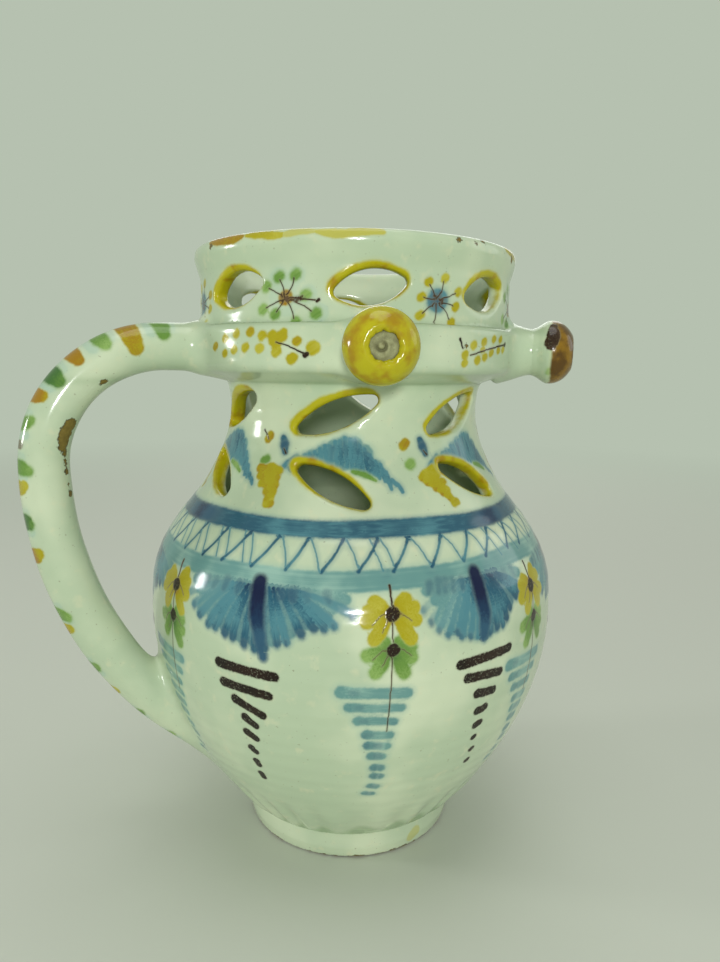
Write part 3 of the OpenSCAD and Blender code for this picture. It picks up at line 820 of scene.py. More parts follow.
def piece_of_clay(name, wanted, look, node, worn_at=()):
    """Make one glazed piece, worn in places, from the wanted triangles of the clay's skin."""
    chosen = tris[wanted]
    used, corner = np.unique(chosen, return_inverse=True)
    corner = corner.ravel()
    mesh = bpy.data.meshes.new(name)
    mesh.vertices.add(len(used))
    mesh.vertices.foreach_set("co", (verts[used] * MM).astype(np.float32).ravel())
    mesh.loops.add(len(corner))
    mesh.loops.foreach_set("vertex_index", corner.astype(np.int32))
    mesh.polygons.add(len(chosen))
    mesh.polygons.foreach_set("loop_start", np.arange(0, len(corner), 3, dtype=np.int32))
    mesh.polygons.foreach_set("use_smooth", np.ones(len(chosen), bool))
    mesh.update(calc_edges=True)
    mesh.normals_split_custom_set_from_vertices(normals[used].astype(np.float32))
    paint(mesh, verts[used], corner.reshape(-1, 3))
    spots = verts[used]
    # Yellow edges, worn clay, and run glaze with painted shade in the creases
    for layer, value in (("painted_edge", edge_paint(spots)), ("bare_clay", worn(spots, worn_at)),
                         ("pooled_glaze_and_shade", pooled_glaze_and_shade(spots))):
        mesh.attributes.new(layer, "FLOAT", "POINT").data.foreach_set(
            "value", value.astype(np.float32))
    mesh.materials.append(look)
    piece = in_scene(name, mesh)
    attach(piece, "root")
    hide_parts(node)
    return piece


# Far outside the yellow, in mm
unpainted = -9.0


def edge_paint(p):
    """How far inside the yellow of a slot's edge or a nozzle's head a point lies, in mm."""
    reach = np.hypot(p[:, 0], p[:, 1])
    wall = filled_wall(reach, p[:, 2])
    # The brush came from the upper left, so the border is 2.5 mm there and 0.5 mm elsewhere
    turn = np.arctan2(p[:, 1], p[:, 0]) + 0.9 / np.maximum(reach, 20)
    shifted = np.c_[reach * np.cos(turn), reach * np.sin(turn), p[:, 2] - 0.8]
    slot = np.maximum(1.3 - slot_distance(shifted), 0.5 - slot_distance(p))
    slot = slot - np.clip(-wall - 1.5, 0, 3) * 0.35
    which, x, rho = along_nozzle(p)
    lean_of_line = np.array([2.6, 0.3, 0.5, 0.2])[which]
    head = np.where((rho < 13) & (x > 58), x - head_at + lean_of_line, unpainted)
    return np.where(p[:, 2] > 112, np.maximum(slot, head), unpainted)


def pooled_glaze_and_shade(p):
    """How thick the glaze has run together above the foot and under collar and crown, together with
    painted shade in these creases.
    """
    angle = np.arctan2(p[:, 1], p[:, 0])
    top = foot_h + 5.5 + 1.6 * np.cos(angle * 30 + 2.2 * np.sin(angle * 5)) + 1.2 * np.sin(angle * 3)
    waist = np.clip((top - p[:, 2]) / 3.5, 0, 1) * np.clip((p[:, 2] - foot_h + 1.5) / 1.5, 0, 1)
    under = [np.exp(-((p[:, 2] - z) / 1.3) ** 2) for z in (collar_z, crown_z)]
    return np.maximum(waist * 0.95, 0.45 * np.maximum(*under))


foot_bare_height = 0.55


def worn(p, worn_at):
    """How far inside a worn place, or the foot's bare bottom edge, a point lies, in mm."""
    deep = foot_bare_height - p[:, 2]
    for spot, size in worn_at:
        deep = np.maximum(deep, size - np.linalg.norm(p - spot, axis=1))
    return deep


def chipped(chips):
    """Places and radii of chips: degrees right of the front, height, distance out, radius."""
    return [(np.array([reach * math.cos(around(azimuth)), reach * math.sin(around(azimuth)), z]),
             size) for azimuth, z, reach, size in chips]


height = middle[:, 2]

# The foot is a ring thrown onto the base and trimmed. It is glazed all over but for the edge
# that it stands on, whose lowest 0.55 mm is coloured as bare clay under a thin dark line.
dab("yellow", 36.5, 4.4, 3.8, -0.55, (1.0, 0.7))
piece_of_clay("glazed_foot", on_body & (height < foot_h), tin_glaze, "foot_ring")

# The belly is thrown round and thin. Its painter set two blue bands with a zigzag between
# them on the shoulder, fans below, and under each fan or flower a row of shrinking bars.
def between(table, at):
    """The value at a place, read between the (place, value) pairs of a small table."""
    return np.interp(at, *np.transpose(table))


way = np.arange(-180, 181, 5.0)
top_band = 118.0 + 0.45 * np.sin(np.radians(way)) + 0.15 * np.sin(way / 9)
dark_at = ((-180, 0.4), (-150, 0.7), (-120, 0.4), (-75, 0.6), (-58, 1.1), (-44, 0.4), (-10, 0.22),
           (20, 0.3), (42, 0.6), (52, 1.1), (70, 0.6), (126, 0.9), (150, 0.4), (180, 0.4))
brush("cobalt", np.c_[way, top_band], 5.8 + 0.25 * np.sin(way / 11),
      between(dark_at, way))
for start, end in ((-70, -45), (41, 61), (116, 136), (-160, -140)):
    there = (way >= start - 1) & (way <= end + 1)
    brush("ink", np.c_[way, top_band][there], [3.0, 5.0, 5.4, 5.0, 3.0], [-0.85, 0.1, 0.5, 0.1, -0.85])
low_rise = ((-180, 0), (-60, -0.2), (0, 0.1), (22, 0.9), (31, 1.3), (52, 2.3), (85, 1.2), (180, 0))
rises = between(low_rise, way)
brush("wash", np.c_[way, 105.5 + rises + 0.15 * np.sin(way / 6)], 6.2,
      0.42 + 0.12 * np.sin(way / 17))
for k in range(-19, 20):
    at = -2.0 + 9.23 * k
    jolt = chance.normal(0, 0.35, 4)
    rise = between(low_rise, at)
    low_end = [at - 5.4 + jolt[0], 107.7 + rise * 0.8 + 0.3 * jolt[1]]
    top_end = [at + jolt[2], 116.2]
    brush("cobalt", [top_end, [(top_end[0] + low_end[0]) / 2 + 0.25, 111.8 + rise / 2], low_end],
          [1.3, 0.9, 0.9, 1.2], [0.6, 0.25, 0.2, 0.5])
    next_end = [at + 3.9 + jolt[3], 108.0 + rise * 0.8]
    brush("cobalt", [top_end, [(top_end[0] + next_end[0]) / 2 + 0.5, 112.4 + rise / 2], next_end],
          [0.8, 0.55, 0.7], -0.1)
    if k % 4 == 1 or abs(at) > 36:
        brush("cobalt", [[at - 2.4, 115.9], [at - 0.8, 112.0], [at + 0.6, 108.2]],
              [0.7, 0.5, 0.6], -0.1)

fringe = ((-22.8, 96.6), (-18.8, 92.2), (-13.5, 89.2), (-9.6, 88.4), (-5, 87), (-1, 85.6),
          (5.5, 87.6), (8.5, 89.8), (12.8, 92.8), (18.2, 94.9), (21.4, 96.4))
for centre, spread, dark_side, tail_z, tail_lean in (
        (-21.8, 1.0, 0.006, 84.2, 1.8), (33.2, 0.74, 0.022, 88.0, -0.8), (78, 0.95, 0.01, 86.0, 1.0),
        (129, 0.9, -0.01, 85.0, -1.0), (180, 1.0, 0.01, 86.5, 0.6), (231, 0.85, 0.02, 85.5, -0.8),
        (283, 1.0, 0.0, 85.0, 1.4)):
    rise = between(low_rise, (centre + 180) % 360 - 180)
    for offset in np.linspace(-17.5, 17, 9):
        end_z = between(fringe, offset) + 2.9
        brush("wash", [[centre + offset * 0.5 * spread, 103.6 + rise],
                       [centre + offset * 0.92 * spread, end_z + rise * 0.5]],
              [4.5, 6.4, 5.4], 0.82 - 0.01 * abs(offset) + dark_side * offset)
    for offset, end_z in ((-19, 99.0), (18.5, 99.0), (-21.5, 101.4), (21.5, 101.4)):
        brush("wash", [[centre + offset * 0.4 * spread, 103.0 + rise],
                       [centre + offset * 0.95 * spread, end_z + rise * 0.9]], [4.5, 5.0, 3.6], 0.4)
    for offset in np.linspace(-22.4, 21.2, 17):
        jolt = chance.normal(0, 1, 4)
        end_z = between(fringe, offset) + 0.6 * jolt[0] + rise * 0.6
        fan_root = [centre + offset * 0.42 * spread, 103.0 + rise]
        dark_root = 0.7 * math.exp(-((offset + 5.5) / 4) ** 2)
        faint_end = 0.5 * min(max((abs(offset) - 13) / 7, 0), 1)
        end = [centre + (offset + 0.4 * jolt[1]) * spread, end_z + 1.0]
        bow = [fan_root[0] * 0.45 + end[0] * 0.55, fan_root[1] * 0.5 + end[1] * 0.5 + 0.4]
        brush("cobalt", [fan_root, bow, end], np.array([0.9, 1.8, 2.7, 2.7]) * spread ** 0.6,
              np.array([0.62 + 0.2 * jolt[2] + dark_root, 0.2 + 0.5 * dark_root, 0.15,
                        0.45 + 0.12 * jolt[3]]) + dark_side * offset - faint_end)
        dab("ink", end[0], end[1] - 0.5, 1.5 + 0.3 * jolt[3], -0.62 + 0.12 * jolt[2], (0.1, -0.5))
    for offset in (-20, -16.5, -13, -10, -7, 4.8, 8, 12, 16):
        jolt = chance.normal(0, 1, 3)
        brush("ink", [[centre + (offset + 0.7 * jolt[0]) * spread, 102.9 + rise + 0.4 * jolt[1]],
                      [centre + (offset * 1.04 + 0.7 * jolt[0]) * spread, 100.8 + rise]],
              [2.4, 1.6], (-0.6 if offset < 0 else -0.72) + 0.1 * jolt[2])
    brush("ink", [[centre - 0.7, 104.2 + rise], [centre - 0.5, 100.0], [centre - 0.1, 95.0],
                  [centre + 0.45 * tail_lean, 90.5], [centre + tail_lean, tail_z]],
          [4.4, 4.8, 4.6, 4.0, 2.8], [1.2, 1.0, 0.45, 0.1, 0.0])

# Two butterfly-winged flowers, yellow over green, share a thin stem over each blue cone
yellow_wings = ((-4.6, 3.6), (-7.6, 1.2), (-8.0, -2.4), (-5.2, -7.2), (4.2, 4.6), (7.0, 2.0),
                (7.6, -2.0), (5.4, -6.8))
green_wings = ((-3.8, 2.6), (-8.0, -1.6), (-5.6, -7.2), (3.6, 2.8), (6.2, 0.4), (6.0, -3.4),
               (4.2, -7.4))
bars = ((-12.9, 76.1, 5.2, 75.3, 4.0), (-10.9, 71.5, 3.7, 70.9, 3.3), (-8.8, 67.2, 2.2, 66.5, 3.3),
        (-6.9, 62.6, 1.6, 62.0, 3.5), (-6.3, 58.6, 1.0, 58.1, 3.5), (-5.2, 54.7, 0.2, 54.3, 3.5),
        (-4.3, 50.0, 0.2, 49.7, 3.4), (-4.1, 46.4, 0.4, 46.1, 3.3), (-4.6, 41.9, -0.4, 41.4, 3.0),
        (-5.9, 38.5, -1.3, 38.1, 2.5))


def bar(pigment, left, left_z, right, right_z, thick, tone):
    """One level brush bar between its outermost ends, with a blob where the brush lifts."""
    middle_z = (left_z + right_z) / 2
    scale = math.degrees(1 / np.interp(middle_z, wall_r[:, 1], wall_r[:, 0]))
    thick = min(thick, 0.85 * math.hypot((right - left) / scale, right_z - left_z))
    inset = min(thick / 2 * scale, (right - left) * 0.42)
    jolt = chance.normal(0, 0.12, 2)
    brush(pigment, [[left + inset, left_z], [(left + right) / 2, middle_z + jolt[0]],
                    [right - inset, right_z]],
          [thick, thick * 0.9, thick * 0.9, thick * 0.88],
          [tone + 0.25, tone, tone - 0.05 + jolt[1], tone + 0.15])


for turn in (9.3, 53.5, 104, 155, 206, 257, -50.5):
    brush("brown", [[turn - 0.3, 104.6], [turn + 0.1, 97], [turn - 0.1, 88], [turn - 0.3, 76],
                    [turn - 0.7, 63.5]], [0.8, 0.42, 0.34, 0.32, 0.3], 0.3)
    for pigment, centre_z, wings in (("yellow", 97.5, yellow_wings), ("green", 88.0, green_wings)):
        scale = math.degrees(1 / np.interp(centre_z, wall_r[:, 1], wall_r[:, 0]))
        for dx, dz in wings:
            jolt = chance.normal(0, 0.35, 3)
            dx, dz = (dx + jolt[0]) * 0.88, (dz + jolt[1]) * 0.88
            brush(pigment, [[turn + dx * 0.28 * scale, centre_z + dz * 0.3],
                            [turn + dx * 0.66 * scale, centre_z + dz * 0.62],
                            [turn + dx * scale, centre_z + dz]], [2.4, 4.4, 4.0],
                  [0.75, 0.42 + 0.3 * jolt[2], 0.28])
        for dx, dz, curl in ((-5.4, -2.6, 0.8), (5.2, -2.0, 0.9), (-2.8, -4.6, -0.5)):
            brush("brown", [[turn, centre_z], [turn + dx * 0.5 * scale, centre_z + dz * 0.3 + curl],
                            [turn + dx * scale, centre_z + dz]], [0.44, 0.3, 0.22], -0.2)
        dab("brown", turn + 0.1, centre_z, 3.9 if pigment == "yellow" else 3.5, 0.7, (0.1, 0.1))
    for k, (left, left_z, right, right_z, thick) in enumerate(bars):
        bar("wash", turn + left, left_z, turn + right, right_z, thick, 0.3)
        dab("ink", turn + (left * 0.75 + right * 0.25), left_z - 0.2, thick * 0.45, -0.8, (0.6, 0))
        if k > 3:
            dab("ink", turn + (left + right) / 2, left_z - 0.2, thick * 0.7, -0.66, (0.5, 0))

# The brown cones under the fans slope down to the right or, on every other one, to the left
falling = ((-8.5, 79.7, 9.0, 78.8, 3.2), (-7.4, 74.0, 7.3, 72.7, 3.1), (-4.4, 69.4, 5.2, 66.0, 3.1),
           (-2.2, 63.9, 2.9, 61.8, 3.0), (-2.5, 58.7, 2.2, 57.0, 2.8), (-2.2, 52.7, 1.0, 51.5, 2.6),
           (-1.9, 47.5, 0.6, 46.0, 2.5), (-2.0, 42.2, 0.6, 40.6, 2.4))
rising = ((-9.5, 81.2, 8.6, 82.1, 3.3), (-7.2, 76.6, 5.6, 75.6, 3.2), (-3.7, 70.7, 4.1, 70.1, 3.2),
          (-2.5, 64.5, 2.2, 65.0, 3.1), (-1.9, 59.2, 1.7, 59.7, 2.7), (-1.0, 54.2, 1.2, 54.6, 2.3),
          (-0.1, 49.2, 2.2, 49.5, 2.1), (0.3, 44.2, 2.6, 44.7, 2.0))
for centre, cone in ((-24.9, falling), (34.2, rising), (78, falling), (129, rising),
                     (180, falling), (231, rising), (283, falling)):
    for left, left_z, right, right_z, thick in cone:
        bar("brown", centre + left, left_z, centre + right, right_z, thick, 0.72)
piece_of_clay("glazed_belly", on_body & (height > foot_h) & (height < joint_z), tin_glaze,
              "belly")

# The neck is a thrown cylinder with two rows of slanting slots cut through it. Blue wings
# hang between the rows, and clusters and single touches of colour fill the clay between.
wing_top = ((-17.5, 134.2), (-12, 137.2), (-6, 139.6), (0, 141.8), (5, 143.2), (9, 142.6),
            (13, 139.8), (17, 136.0), (21, 131.6), (24, 129.8))
wing_foot = ((-17.5, 132.6), (-12, 134.6), (-6, 135.2), (0, 134.4), (7, 133.2), (11, 132.6),
             (15, 131.4), (19, 129.4), (24, 127.6))
level_rows = ((132.4, -31.5, -19.3), (130.4, -30.2, -19.6), (128.4, -28.6, -19.4),
              (126.4, -25.6, -19.6), (124.4, -24.0, -19.8), (123.2, -22.6, -20.4))
slant_rows = ((130.5, -25.0, -16.6, 133.8), (129.2, -23.2, -15.0, 132.2), (127.4, -20.4, -13.8, 129.8),
              (126.0, -18.0, -13.0, 127.4), (124.4, -15.6, -12.6, 125.2), (123.2, -13.6, -12.2, 123.6))
for k, slot_at in enumerate(place - FRONT for place in neck_slots):
    for offset in (-12, -8, -4, 0, 4, 8, 12, 16):
        top = between(wing_top, offset)
        bottom = between(wing_foot, offset)
        brush("wash", [[slot_at - 0.4 + offset, max(top - 2.0, bottom + 0.5)],
                       [slot_at + 0.4 + offset, min(bottom + 1.6, top - 1.0)]],
              3.2 if offset < -9 or offset > 14 else 4.6, 0.5)
    for offset in np.arange(-16.5, 24.1, 1.9):
        jolt = chance.normal(0, 1, 4)
        top = between(wing_top, offset) + 0.4 * jolt[0]
        bottom = between(wing_foot, offset) + 0.5 * jolt[1] - 0.4
        azimuth = slot_at + offset
        brush("cobalt", [[azimuth - 0.6, top - 0.8], [azimuth, (top + bottom) / 2],
                         [azimuth + 0.7, min(bottom + 0.6, top - 1.6)]], [1.3, 1.7, 1.2],
              [0.0, 0.15 + 0.12 * jolt[2], 0.05])
    for offset in (-9, -2, 3, 8, 13):
        jolt = chance.normal(0, 0.8, 2)
        top = between(wing_top, offset)
        brush("ink", [[slot_at + offset + jolt[0], top - 1.6], [slot_at + offset + 1, top - 4.6]],
              [1.5, 1.0], [-0.7, -0.85])
    dot_z = 141.6 if k % 2 else 140.6
    dab("yellow", slot_at - 28.6, dot_z, 2.9, 0.72, (0.4, 0.5))
    dab("green", slot_at - 28.2 + (k + 1) % 2, 134.9, 3.2, 0.35)
    brush("cobalt", [[slot_at - 21.6, 141.8], [slot_at - 20.7, 140.0], [slot_at - 19.9, 137.6]],
          [2.0, 3.3, 2.2], 0.35)
    dab("ink", slot_at - 20.9, 139.8, 1.9, -0.2)
    brush("brown", [[slot_at - 20.6, 138.6], [slot_at - 19.4, 137.4]], [0.3, 0.6], 0.3)
    brush("green", [[slot_at + 7, 133.0], [slot_at + 11, 132.2], [slot_at + 15, 130.6]],
          [1.2, 1.9, 1.0], 0.35)
    brush("cobalt", [[slot_at - 20.4, 132.2], [slot_at - 18.2, 134.4], [slot_at - 14.4, 136.4]],
          [1.4, 2.2, 2.2], 0.05)
    if k % 2:
        brush("yellow", [[slot_at - 24.4, 131.4], [slot_at - 21.9, 127.2], [slot_at - 21.4, 124.0]],
              [6.4, 4.4, 2.4], 0.45)
        for z, left, right in level_rows:
            brush("yellow", [[slot_at + left + 2, z], [slot_at + right - 1.4, z - 0.1]],
                  3.0, [0.72, 0.3 + 0.35 * chance.random()])
        brush("brown", [[slot_at - 31.6, 143.6], [slot_at - 30.2, 142.6], [slot_at - 28.9, 141.0]],
              [0.7, 0.4, 0.3], 0.5)
    else:
        brush("yellow", [[slot_at - 20.4, 131.0], [slot_at - 16.8, 128.0], [slot_at - 13.4, 124.4]],
              [6.0, 4.4, 2.4], 0.45)
        for z, left, right, right_z in slant_rows:
            brush("yellow", [[slot_at + left + 1.6, z + 0.4], [slot_at + right - 1.2, right_z - 0.4]],
                  2.7, [0.72, 0.3 + 0.35 * chance.random()])
piece_of_clay("glazed_neck", on_body & (height > joint_z) & (height < collar_z), tin_glaze,
              "neck")

# The collar is a thrown ring over a hollow duct that leads drink from the handle to the
# nozzles. Sprigs of yellow dots on a thin brown stem run along its upright side.
long_sprig = ((-19.1, 168.4, 2.3), (-14.0, 171.2, 2.5), (-8.3, 172.3, 2.5), (-2.5, 172.2, 2.6),
              (2.3, 171.6, 2.5), (6.1, 170.2, 3.3), (7.8, 171.2, 3.4), (5.0, 171.6, 2.6),
              (9.2, 172.3, 2.2), (7.0, 169.0, 2.6), (12.9, 170.0, 2.5), (18.3, 168.1, 3.7),
              (-14.2, 166.6, 2.3), (-9.3, 167.7, 2.5), (-5.0, 168.0, 2.5), (0.8, 167.8, 2.6),
              (6.8, 167.0, 2.7), (11.9, 165.4, 3.0))
short_sprig = ((-6.6, 167.0, 2.3), (-2.4, 169.9, 2.5), (3.0, 171.0, 2.4), (8.0, 171.6, 2.2),
               (12.5, 172.0, 2.0), (-0.6, 165.6, 2.6), (3.4, 166.4, 2.3), (7.0, 167.9, 2.3),
               (11.0, 168.4, 2.0), (14.6, 168.9, 2.0), (-6.2, 164.6, 2.2), (2.0, 168.6, 1.8))
for centre, flip in ((-30.0, 1), (42.4, -1), (114, 1), (186, -1), (-102, -1)):
    for dx, z, size in long_sprig if flip > 0 else short_sprig:
        jolt = chance.normal(0, 1, 3)
        dab("yellow", centre + dx + 0.25 * jolt[0], z + 0.15 * jolt[1], size, 0.42 + 0.1 * jolt[2])
    if flip > 0:
        brush("brown", [[centre + 6.5, 169.6], [centre + 10, 168.8], [centre + 15.6, 166.5]],
              [0.34, 0.4, 0.6], 0.4)
        dab("brown", centre + 15.9, 166.3, 1.3, 0.6)
    else:
        brush("brown", [[centre - 4, 166.9], [centre + 6, 169.0], [centre + 16.5, 170.4]],
              [0.4, 0.5, 0.6], 0.4)
        dab("brown", centre + 16.5, 170.4, 1.2, 0.6)
        brush("brown", [[centre - 8.5, 171.3], [centre - 7.4, 168.8]], [1.0, 0.5], 0.7)
piece_of_clay("glazed_collar", on_body & (height > collar_z) & (height < crown_z), tin_glaze,
              "collar_ring", chipped([(36.5, 169.6, collar_r - 0.2, 0.5)]))

# The crown is a thrown band with a flared lip and eight wide slots. Small starry flowers of
# dots on thin brown rays stand between the slots, and the lip carries worn yellow touches.
green_star = ((-2.3, 187.4), (3.1, 187.6), (6.4, 182.7), (9.8, 177.6), (3.3, 175.2), (-3.5, 177.1),
              (-8.9, 178.7), (-7.1, 185.0))
yellow_star = ((-3.0, 186.6), (2.8, 187.8), (8.6, 184.4), (8.0, 180.1), (5.7, 175.8), (-0.5, 174.6),
               (-5.7, 177.6), (-5.6, 182.5))
for k, centre in enumerate((-21.6, 26.3, 72.5, 117.5, 162.5, 207.5, 252.5, -66.5)):
    base_z = 181.8
    starry = k % 2 == 0
    if starry:
        dab("wash", centre, base_z, 10.0, -0.78)
        for dx, z in green_star[:4]:
            dab("wash", centre + dx * 1.1, z, 5.0, -0.72)
    for dx, z in green_star if starry else yellow_star:
        jolt = chance.normal(0, 0.3, 3)
        dx, z = dx + jolt[0], z + 0.8 * jolt[1]
        dab("green" if starry else "yellow", centre + dx, z, 2.9 if starry else 2.5,
            (0.28 if starry else 0.45) + 0.4 * jolt[2])
        brush("brown", [[centre + 0.15 * dx, base_z + 0.15 * (z - base_z)],
                        [centre + 0.55 * dx + 0.4, base_z + 0.5 * (z - base_z)],
                        [centre + 0.85 * dx, base_z + 0.85 * (z - base_z)]], [0.46, 0.3, 0.36], 0.3)
    if starry:
        brush("brown", [[centre, base_z], [centre + 6, base_z - 0.4], [centre + 10.4, base_z - 0.8]],
              [0.45, 0.36, 0.5], 0.4)
        dab("brown", centre + 10.4, base_z - 0.8, 0.8, 0.5)
        dab("yellow", centre, base_z, 3.9, 0.95)
        dab("brown", centre + 0.3, base_z - 0.2, 1.0, 0.0)
    else:
        for angle in (0.2, 1.1, 2.1, 3.0, 3.8, 4.7, 5.6):
            brush("ink", [[centre, base_z], [centre + 3.1 * math.cos(angle),
                                             base_z + 2.8 * math.sin(angle)]], [2.0, 1.0],
                  [0.1, -0.45])
        dab("cobalt", centre + 0.5, base_z, 6.4, 0.0)


def on_lip(path):
    """Places on the crown's top edge: degrees right of the front, and mm out from its middle."""
    path = np.asarray(path, float)
    lip_r = crown_r - 1.4 + path[:, 1]
    angle = around(path[:, 0])
    return np.c_[lip_r * np.cos(angle), lip_r * np.sin(angle), rim_z - 0.12 * path[:, 1] ** 2]


for start, end, width, tone in ((-54, -37, 3.4, 0.9), (-35, -22, 3.0, 0.4), (-22, -12, 2.4, -0.3),
                                (-11, 8, 3.0, -0.15), (60, 84, 3.6, 0.5), (118, 150, 4.0, 0.7),
                                (176, 198, 3.4, 0.4), (232, 262, 4.0, 0.6)):
    way = np.linspace(start, end, 6)
    brush("yellow", np.c_[way, 198.7 + 0.4 * np.sin(way / 3)],
          [width * 0.5, width, width * 0.8, width * 0.9, width * 0.5], tone)
    brush("yellow", np.c_[way, 0.6 * np.sin(way / 4)],
          [width * 0.5, width * 1.2, width, width * 1.2, width * 0.5], tone, on_lip)
lip_chips = [(44, 199.2, 52.4, 0.8), (33, 198.4, 53.2, 0.6), (40.5, 198.2, 53.3, 0.35),
             (-53, 197.6, 53.4, 0.8), (66, 196.4, 53.6, 0.9), (88, 199.4, 51.0, 1.3),
             (150, 199.0, 52.6, 1.0), (228, 198.7, 53.0, 1.2), (-8, 199.9, 51.0, 0.5)]
piece_of_clay("glazed_crown", on_body & (height > crown_z), tin_glaze, "crown",
              chipped(lip_chips))


# The handle is a pulled tube, luted on at collar and belly, hollow so that drink rises in
# it. Short strokes of green and ochre cross its back, and its inner side is worn to the clay.
def on_handle_skin(path):
    """Places on the handle's skin: mm along it from its start, degrees round from its back."""
    path = np.asarray(path, float)
    start, quarter = top_x - straight_l, top_bend_r * math.pi / 2
    spots = []
    for s, turn_by in path:
        if s < straight_l:
            centre, out = (start + s, duct_z), (0.0, 1.0)
        elif s < straight_l + quarter:
            bend = math.pi / 2 - (s - straight_l) / top_bend_r
            out = (math.cos(bend), math.sin(bend))
            centre = (top_x + top_bend_r * out[0], bend_z + top_bend_r * out[1])
        else:
            bend = -(s - straight_l - quarter) / back_bend_r
            out = (math.cos(bend), math.sin(bend))
            centre = (back_x + back_bend_r * out[0], bend_z + back_bend_r * out[1])
        c, t = handle_r * math.cos(math.radians(turn_by)), handle_r * math.sin(math.radians(turn_by))
        spots.append((-(centre[0] + c * out[0]), t, centre[1] + c * out[1]))
    return np.array(spots)


for s, pigment, tone, width, left, right in (
        (46.5, "green", 0.65, 5.2, -60, 58),
        (54.8, "yellow", 0.95, 6.2, -84, 60), (62.0, "green", 0.55, 5.0, -56, 62),
        (69.5, "yellow", 1.0, 4.8, -50, 60), (76.5, "green", 1.1, 5.6, -54, 56),
        (82.8, "yellow", 1.05, 4.6, -46, 60), (90.2, "green", 0.5, 4.4, -42, 56),
        (95.5, "brown", -0.2, 2.6, -28, 40), (101.0, "green", 0.75, 4.6, -44, 60),
        (106.8, "yellow", 0.7, 4.4, -40, 54), (116.6, "green", 1.1, 5.2, -38, 60),
        (126.6, "yellow", 1.05, 4.8, -34, 58), (145.2, "green", 0.65, 5.0, -46, 56),
        (150.4, "yellow", 0.7, 4.0, -36, 56), (165.0, "green", 0.7, 4.6, -36, 56),
        (175.0, "yellow", 0.5, 3.4, -24, 50), (186.0, "green", 0.5, 4.0, -30, 52),
        (199.0, "green", 0.3, 4.0, -34, 50)):
    jolt = chance.normal(0, 1, 3)
    brush(pigment, [[s + 0.5 * jolt[0], left + 4 * jolt[1]], [s, -20], [s + 0.5 * jolt[2], right]],
          [width * 0.75, width, width * 1.05, width * 0.7], [tone - 0.3, tone, tone], on_handle_skin)
    if pigment == "green":
        brush("wash", [[s + 2.6, left * 0.9], [s + 2.9, 0], [s + 2.6, right * 0.9]],
              width * 0.7, -0.62, on_handle_skin)
        brush("wash", [[s - 2.6, left * 0.8], [s - 2.7, 0], [s - 2.6, right * 0.8]],
              width * 0.6, -0.72, on_handle_skin)
# Worn places on the handle: mm along it, degrees round from its back, radius
rubbed = [(86.5, -134, 1.9), (89, -131, 2.1), (91.5, -130, 2.0), (94, -133, 1.3), (96.5, -140, 0.9),
          (99.5, -143, 0.7), (103, -146, 0.8), (106.5, -149, 0.5), (110, -152, 0.6),
          (67.0, -133, 0.5), (68.2, -130, 0.5), (120, 150, 1.5), (84, 160, 1.2)]
piece_of_clay("glazed_handle", on_handle, tin_glaze, "handle",
              [(on_handle_skin([[s, turn_by]])[0], size) for s, turn_by, size in rubbed])

# The nozzles are turned like small pawns, luted to the collar and dipped white, and their
# heads are painted yellow. Three have a bore that reaches the duct; the front one is blind.
def beside_right_head(path):
    """Places on the viewer's side of the right nozzle: mm along its axis, mm above it."""
    axis_at = math.radians(nozzle_at[1])
    spots = []
    for x, up in path:
        out = math.sqrt(max(head_r ** 2 - up ** 2, 1))
        spots.append((x * math.cos(axis_at) + out * math.sin(axis_at),
                      x * math.sin(axis_at) - out * math.cos(axis_at), duct_z + up))
    return np.array(spots)


# A burnt dark patch sits where the white and the amber meet on the right nozzle
for start, middle_at, end, width in (
        ((head_at + 0.3, 8.4), (head_at - 0.5, 5.4), (head_at - 0.3, 1.8), (2.2, 3.4, 2.4)),
        ((head_at - 1.8, 4.4), (head_at - 2.3, 3.0), (head_at - 1.5, 1.4), (1.2, 2.0, 1.4)),
        ((head_at + 1.2, 7.0), (head_at + 1.3, 5.0), (head_at + 0.9, 2.6), (1.4, 2.0, 1.2))):
    brush("brown", [start, middle_at, end], width, 0.3, beside_right_head)
dab("green", head_at - 0.7, -6.2, 1.8, -0.3, (0.2, 0.5), beside_right_head)
# The same glaze with more orange blotches in the yellow, and with heads of amber to brown,
# so that neighbouring heads look painted one after the other and never quite alike
mottled_glaze = glaze_look("mottled_tin_glaze", gold, ochre, 0.6)
amber_glaze = glaze_look("amber_tipped_tin_glaze", "#8A660A", "#583A04", 0.53)
nozzle_of = along_nozzle(middle)[0]
for k, (node, look) in enumerate((("front_nozzle", mottled_glaze), ("right_nozzle", amber_glaze),
                                  ("rear_right_nozzle", mottled_glaze),
                                  ("rear_left_nozzle", amber_glaze))):
    piece_of_clay("glazed_" + node, on_nozzle & (nozzle_of == k), look, node)

# The false nozzle's mouth is stopped with a pat of raw clay, pressed in with a finger's
# turn that left a spiral and a small nub. It was fired without glaze, so it is matt and sandy.
plug_drop, plug_gap, nub_h, nub_x, nub_y, curl_pitch = 1.3, 0.02, 1.0, -0.5, 0.1, 1.9
seat_x, face_x = tip_x - mouth_depth, tip_x - max(plug_drop, mouth_round)
rings, spokes = 26, 72
ring_r = np.linspace(0, 1, rings + 1)[1:] * (mouth_r - plug_gap)
turn = np.arange(spokes) * 2 * math.pi / spokes
r, t = np.meshgrid(ring_r, turn, indexing="ij")
near_nub = np.hypot(r * np.cos(t) - nub_x, r * np.sin(t) - nub_y)
round_nub = np.arctan2(r * np.sin(t) - nub_y, r * np.cos(t) - nub_x)
curl = np.cos(2 * math.pi * near_nub / curl_pitch + round_nub + 0.6)
heap = 0.24 * curl * np.exp(-((near_nub - 0.9) / 0.9) ** 2) + 0.05 * np.sin(3 * t + 3 * r) * (r > 1.2)
heap += 0.7 * nub_h * np.exp(-(near_nub / 0.5) ** 2) - 0.3 * np.exp(-((near_nub - 1.15) / 0.35) ** 2)
heap += chance.normal(0, 0.03, r.shape) - 0.2 * np.clip((r - mouth_r + 0.8) / 0.8, 0, 1) ** 2
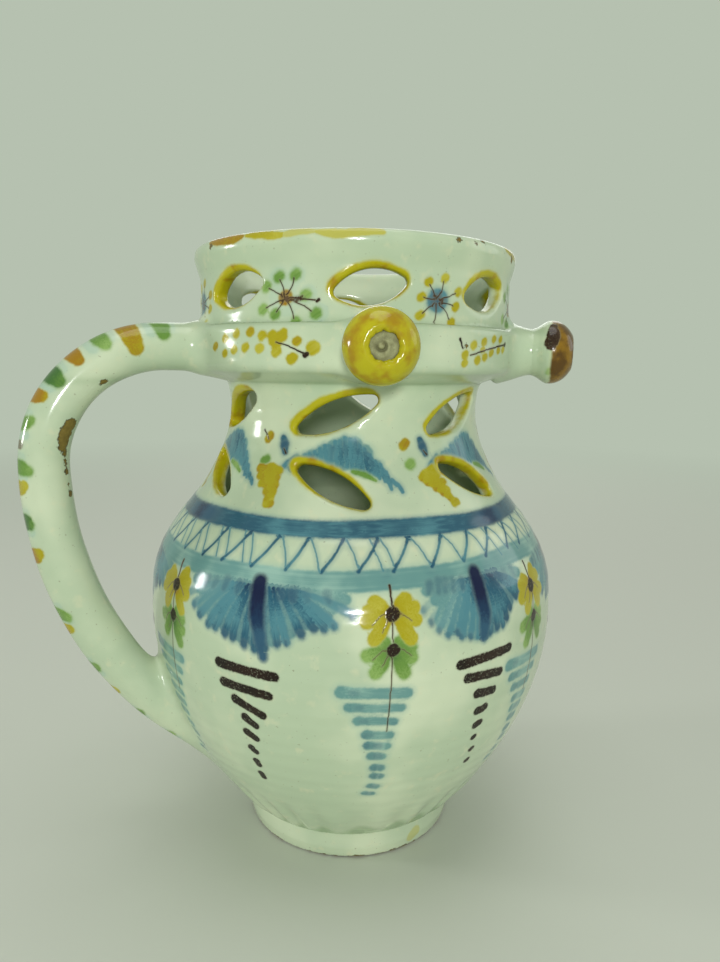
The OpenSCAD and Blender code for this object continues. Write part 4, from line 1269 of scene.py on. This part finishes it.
axis = math.radians(nozzle_at[0])
points = [(0.0, 0.0, face_x - 0.05 + heap[0].mean())]
points += zip((r * np.cos(t)).ravel(), (r * np.sin(t)).ravel(), (face_x - 0.05 + heap).ravel())
points += [(mouth_r * math.cos(a), mouth_r * math.sin(a), seat_x) for a in turn] + [(0, 0, seat_x)]
faces = [(0, 1 + k, 1 + (k + 1) % spokes) for k in range(spokes)]
for ring in range(rings):
    low, high = 1 + ring * spokes, 1 + (ring + 1) * spokes
    faces += [(low + k, high + k, high + (k + 1) % spokes, low + (k + 1) % spokes)
              for k in range(spokes)]
last = len(points) - 1
faces += [(last, last - spokes + (k + 1) % spokes, last - spokes + k) for k in range(spokes)]
spots = np.array(points)
placed = np.c_[spots[:, 2] * math.cos(axis) - spots[:, 0] * math.sin(axis),
               spots[:, 2] * math.sin(axis) + spots[:, 0] * math.cos(axis), duct_z + spots[:, 1]]
plug_mesh = bpy.data.meshes.new("raw_clay_plug")
plug_mesh.from_pydata((placed * MM).tolist(), [], faces)
plug_mesh.polygons.foreach_set("use_smooth", [True] * len(plug_mesh.polygons))
# Painted shade: the pat's low places, the groove round the nub and the edge at the mouth, are darker
# the deeper they lie
hollow = np.r_[heap[0].mean(), heap.ravel(), np.zeros(spokes + 1)]
plug_mesh.attributes.new("hollow", "FLOAT", "POINT").data.foreach_set(
    "value", np.clip(0.45 - 2.2 * hollow, 0, 1).astype(np.float32))
raw_clay = bpy.data.materials.new("raw_fired_clay")
tree = emptied_tree(raw_clay)
place = add(tree, "TexCoord").outputs["Object"]
grog = add(tree, "TexNoise", None, place, 2200.0, 3.0)
patch = add(tree, "TexNoise", None, place, 420.0)
sand = add(tree, "Mix", tinted, grog, colour("#96976A"), colour("#BCC092"))
stain = add(tree, "MapRange", None, patch, 0.5, 0.7, 0.0, 0.5)
sand = add(tree, "Mix", tinted, stain, sand, colour("#6E6A40"))
# The painted shade in the pat's low places
hollow = add(tree, "Attribute", {"attribute_name": "hollow"}).outputs["Fac"]
sand = add(tree, "Mix", tinted, add(tree, "Math", times, hollow, 0.8), sand, colour("#4E4C2C"))
pores = add(tree, "Bump", Height=grog, Strength=0.6, Distance=0.00012)
dry = add(tree, "BsdfPrincipled", Base_Color=sand, Roughness=0.82, Normal=pores)
add(tree, "OutputMaterial", Surface=dry)
plug_mesh.materials.append(raw_clay)
plug = in_scene("raw_clay_plug", plug_mesh)
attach(plug, "root")
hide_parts("front_nozzle_plug")
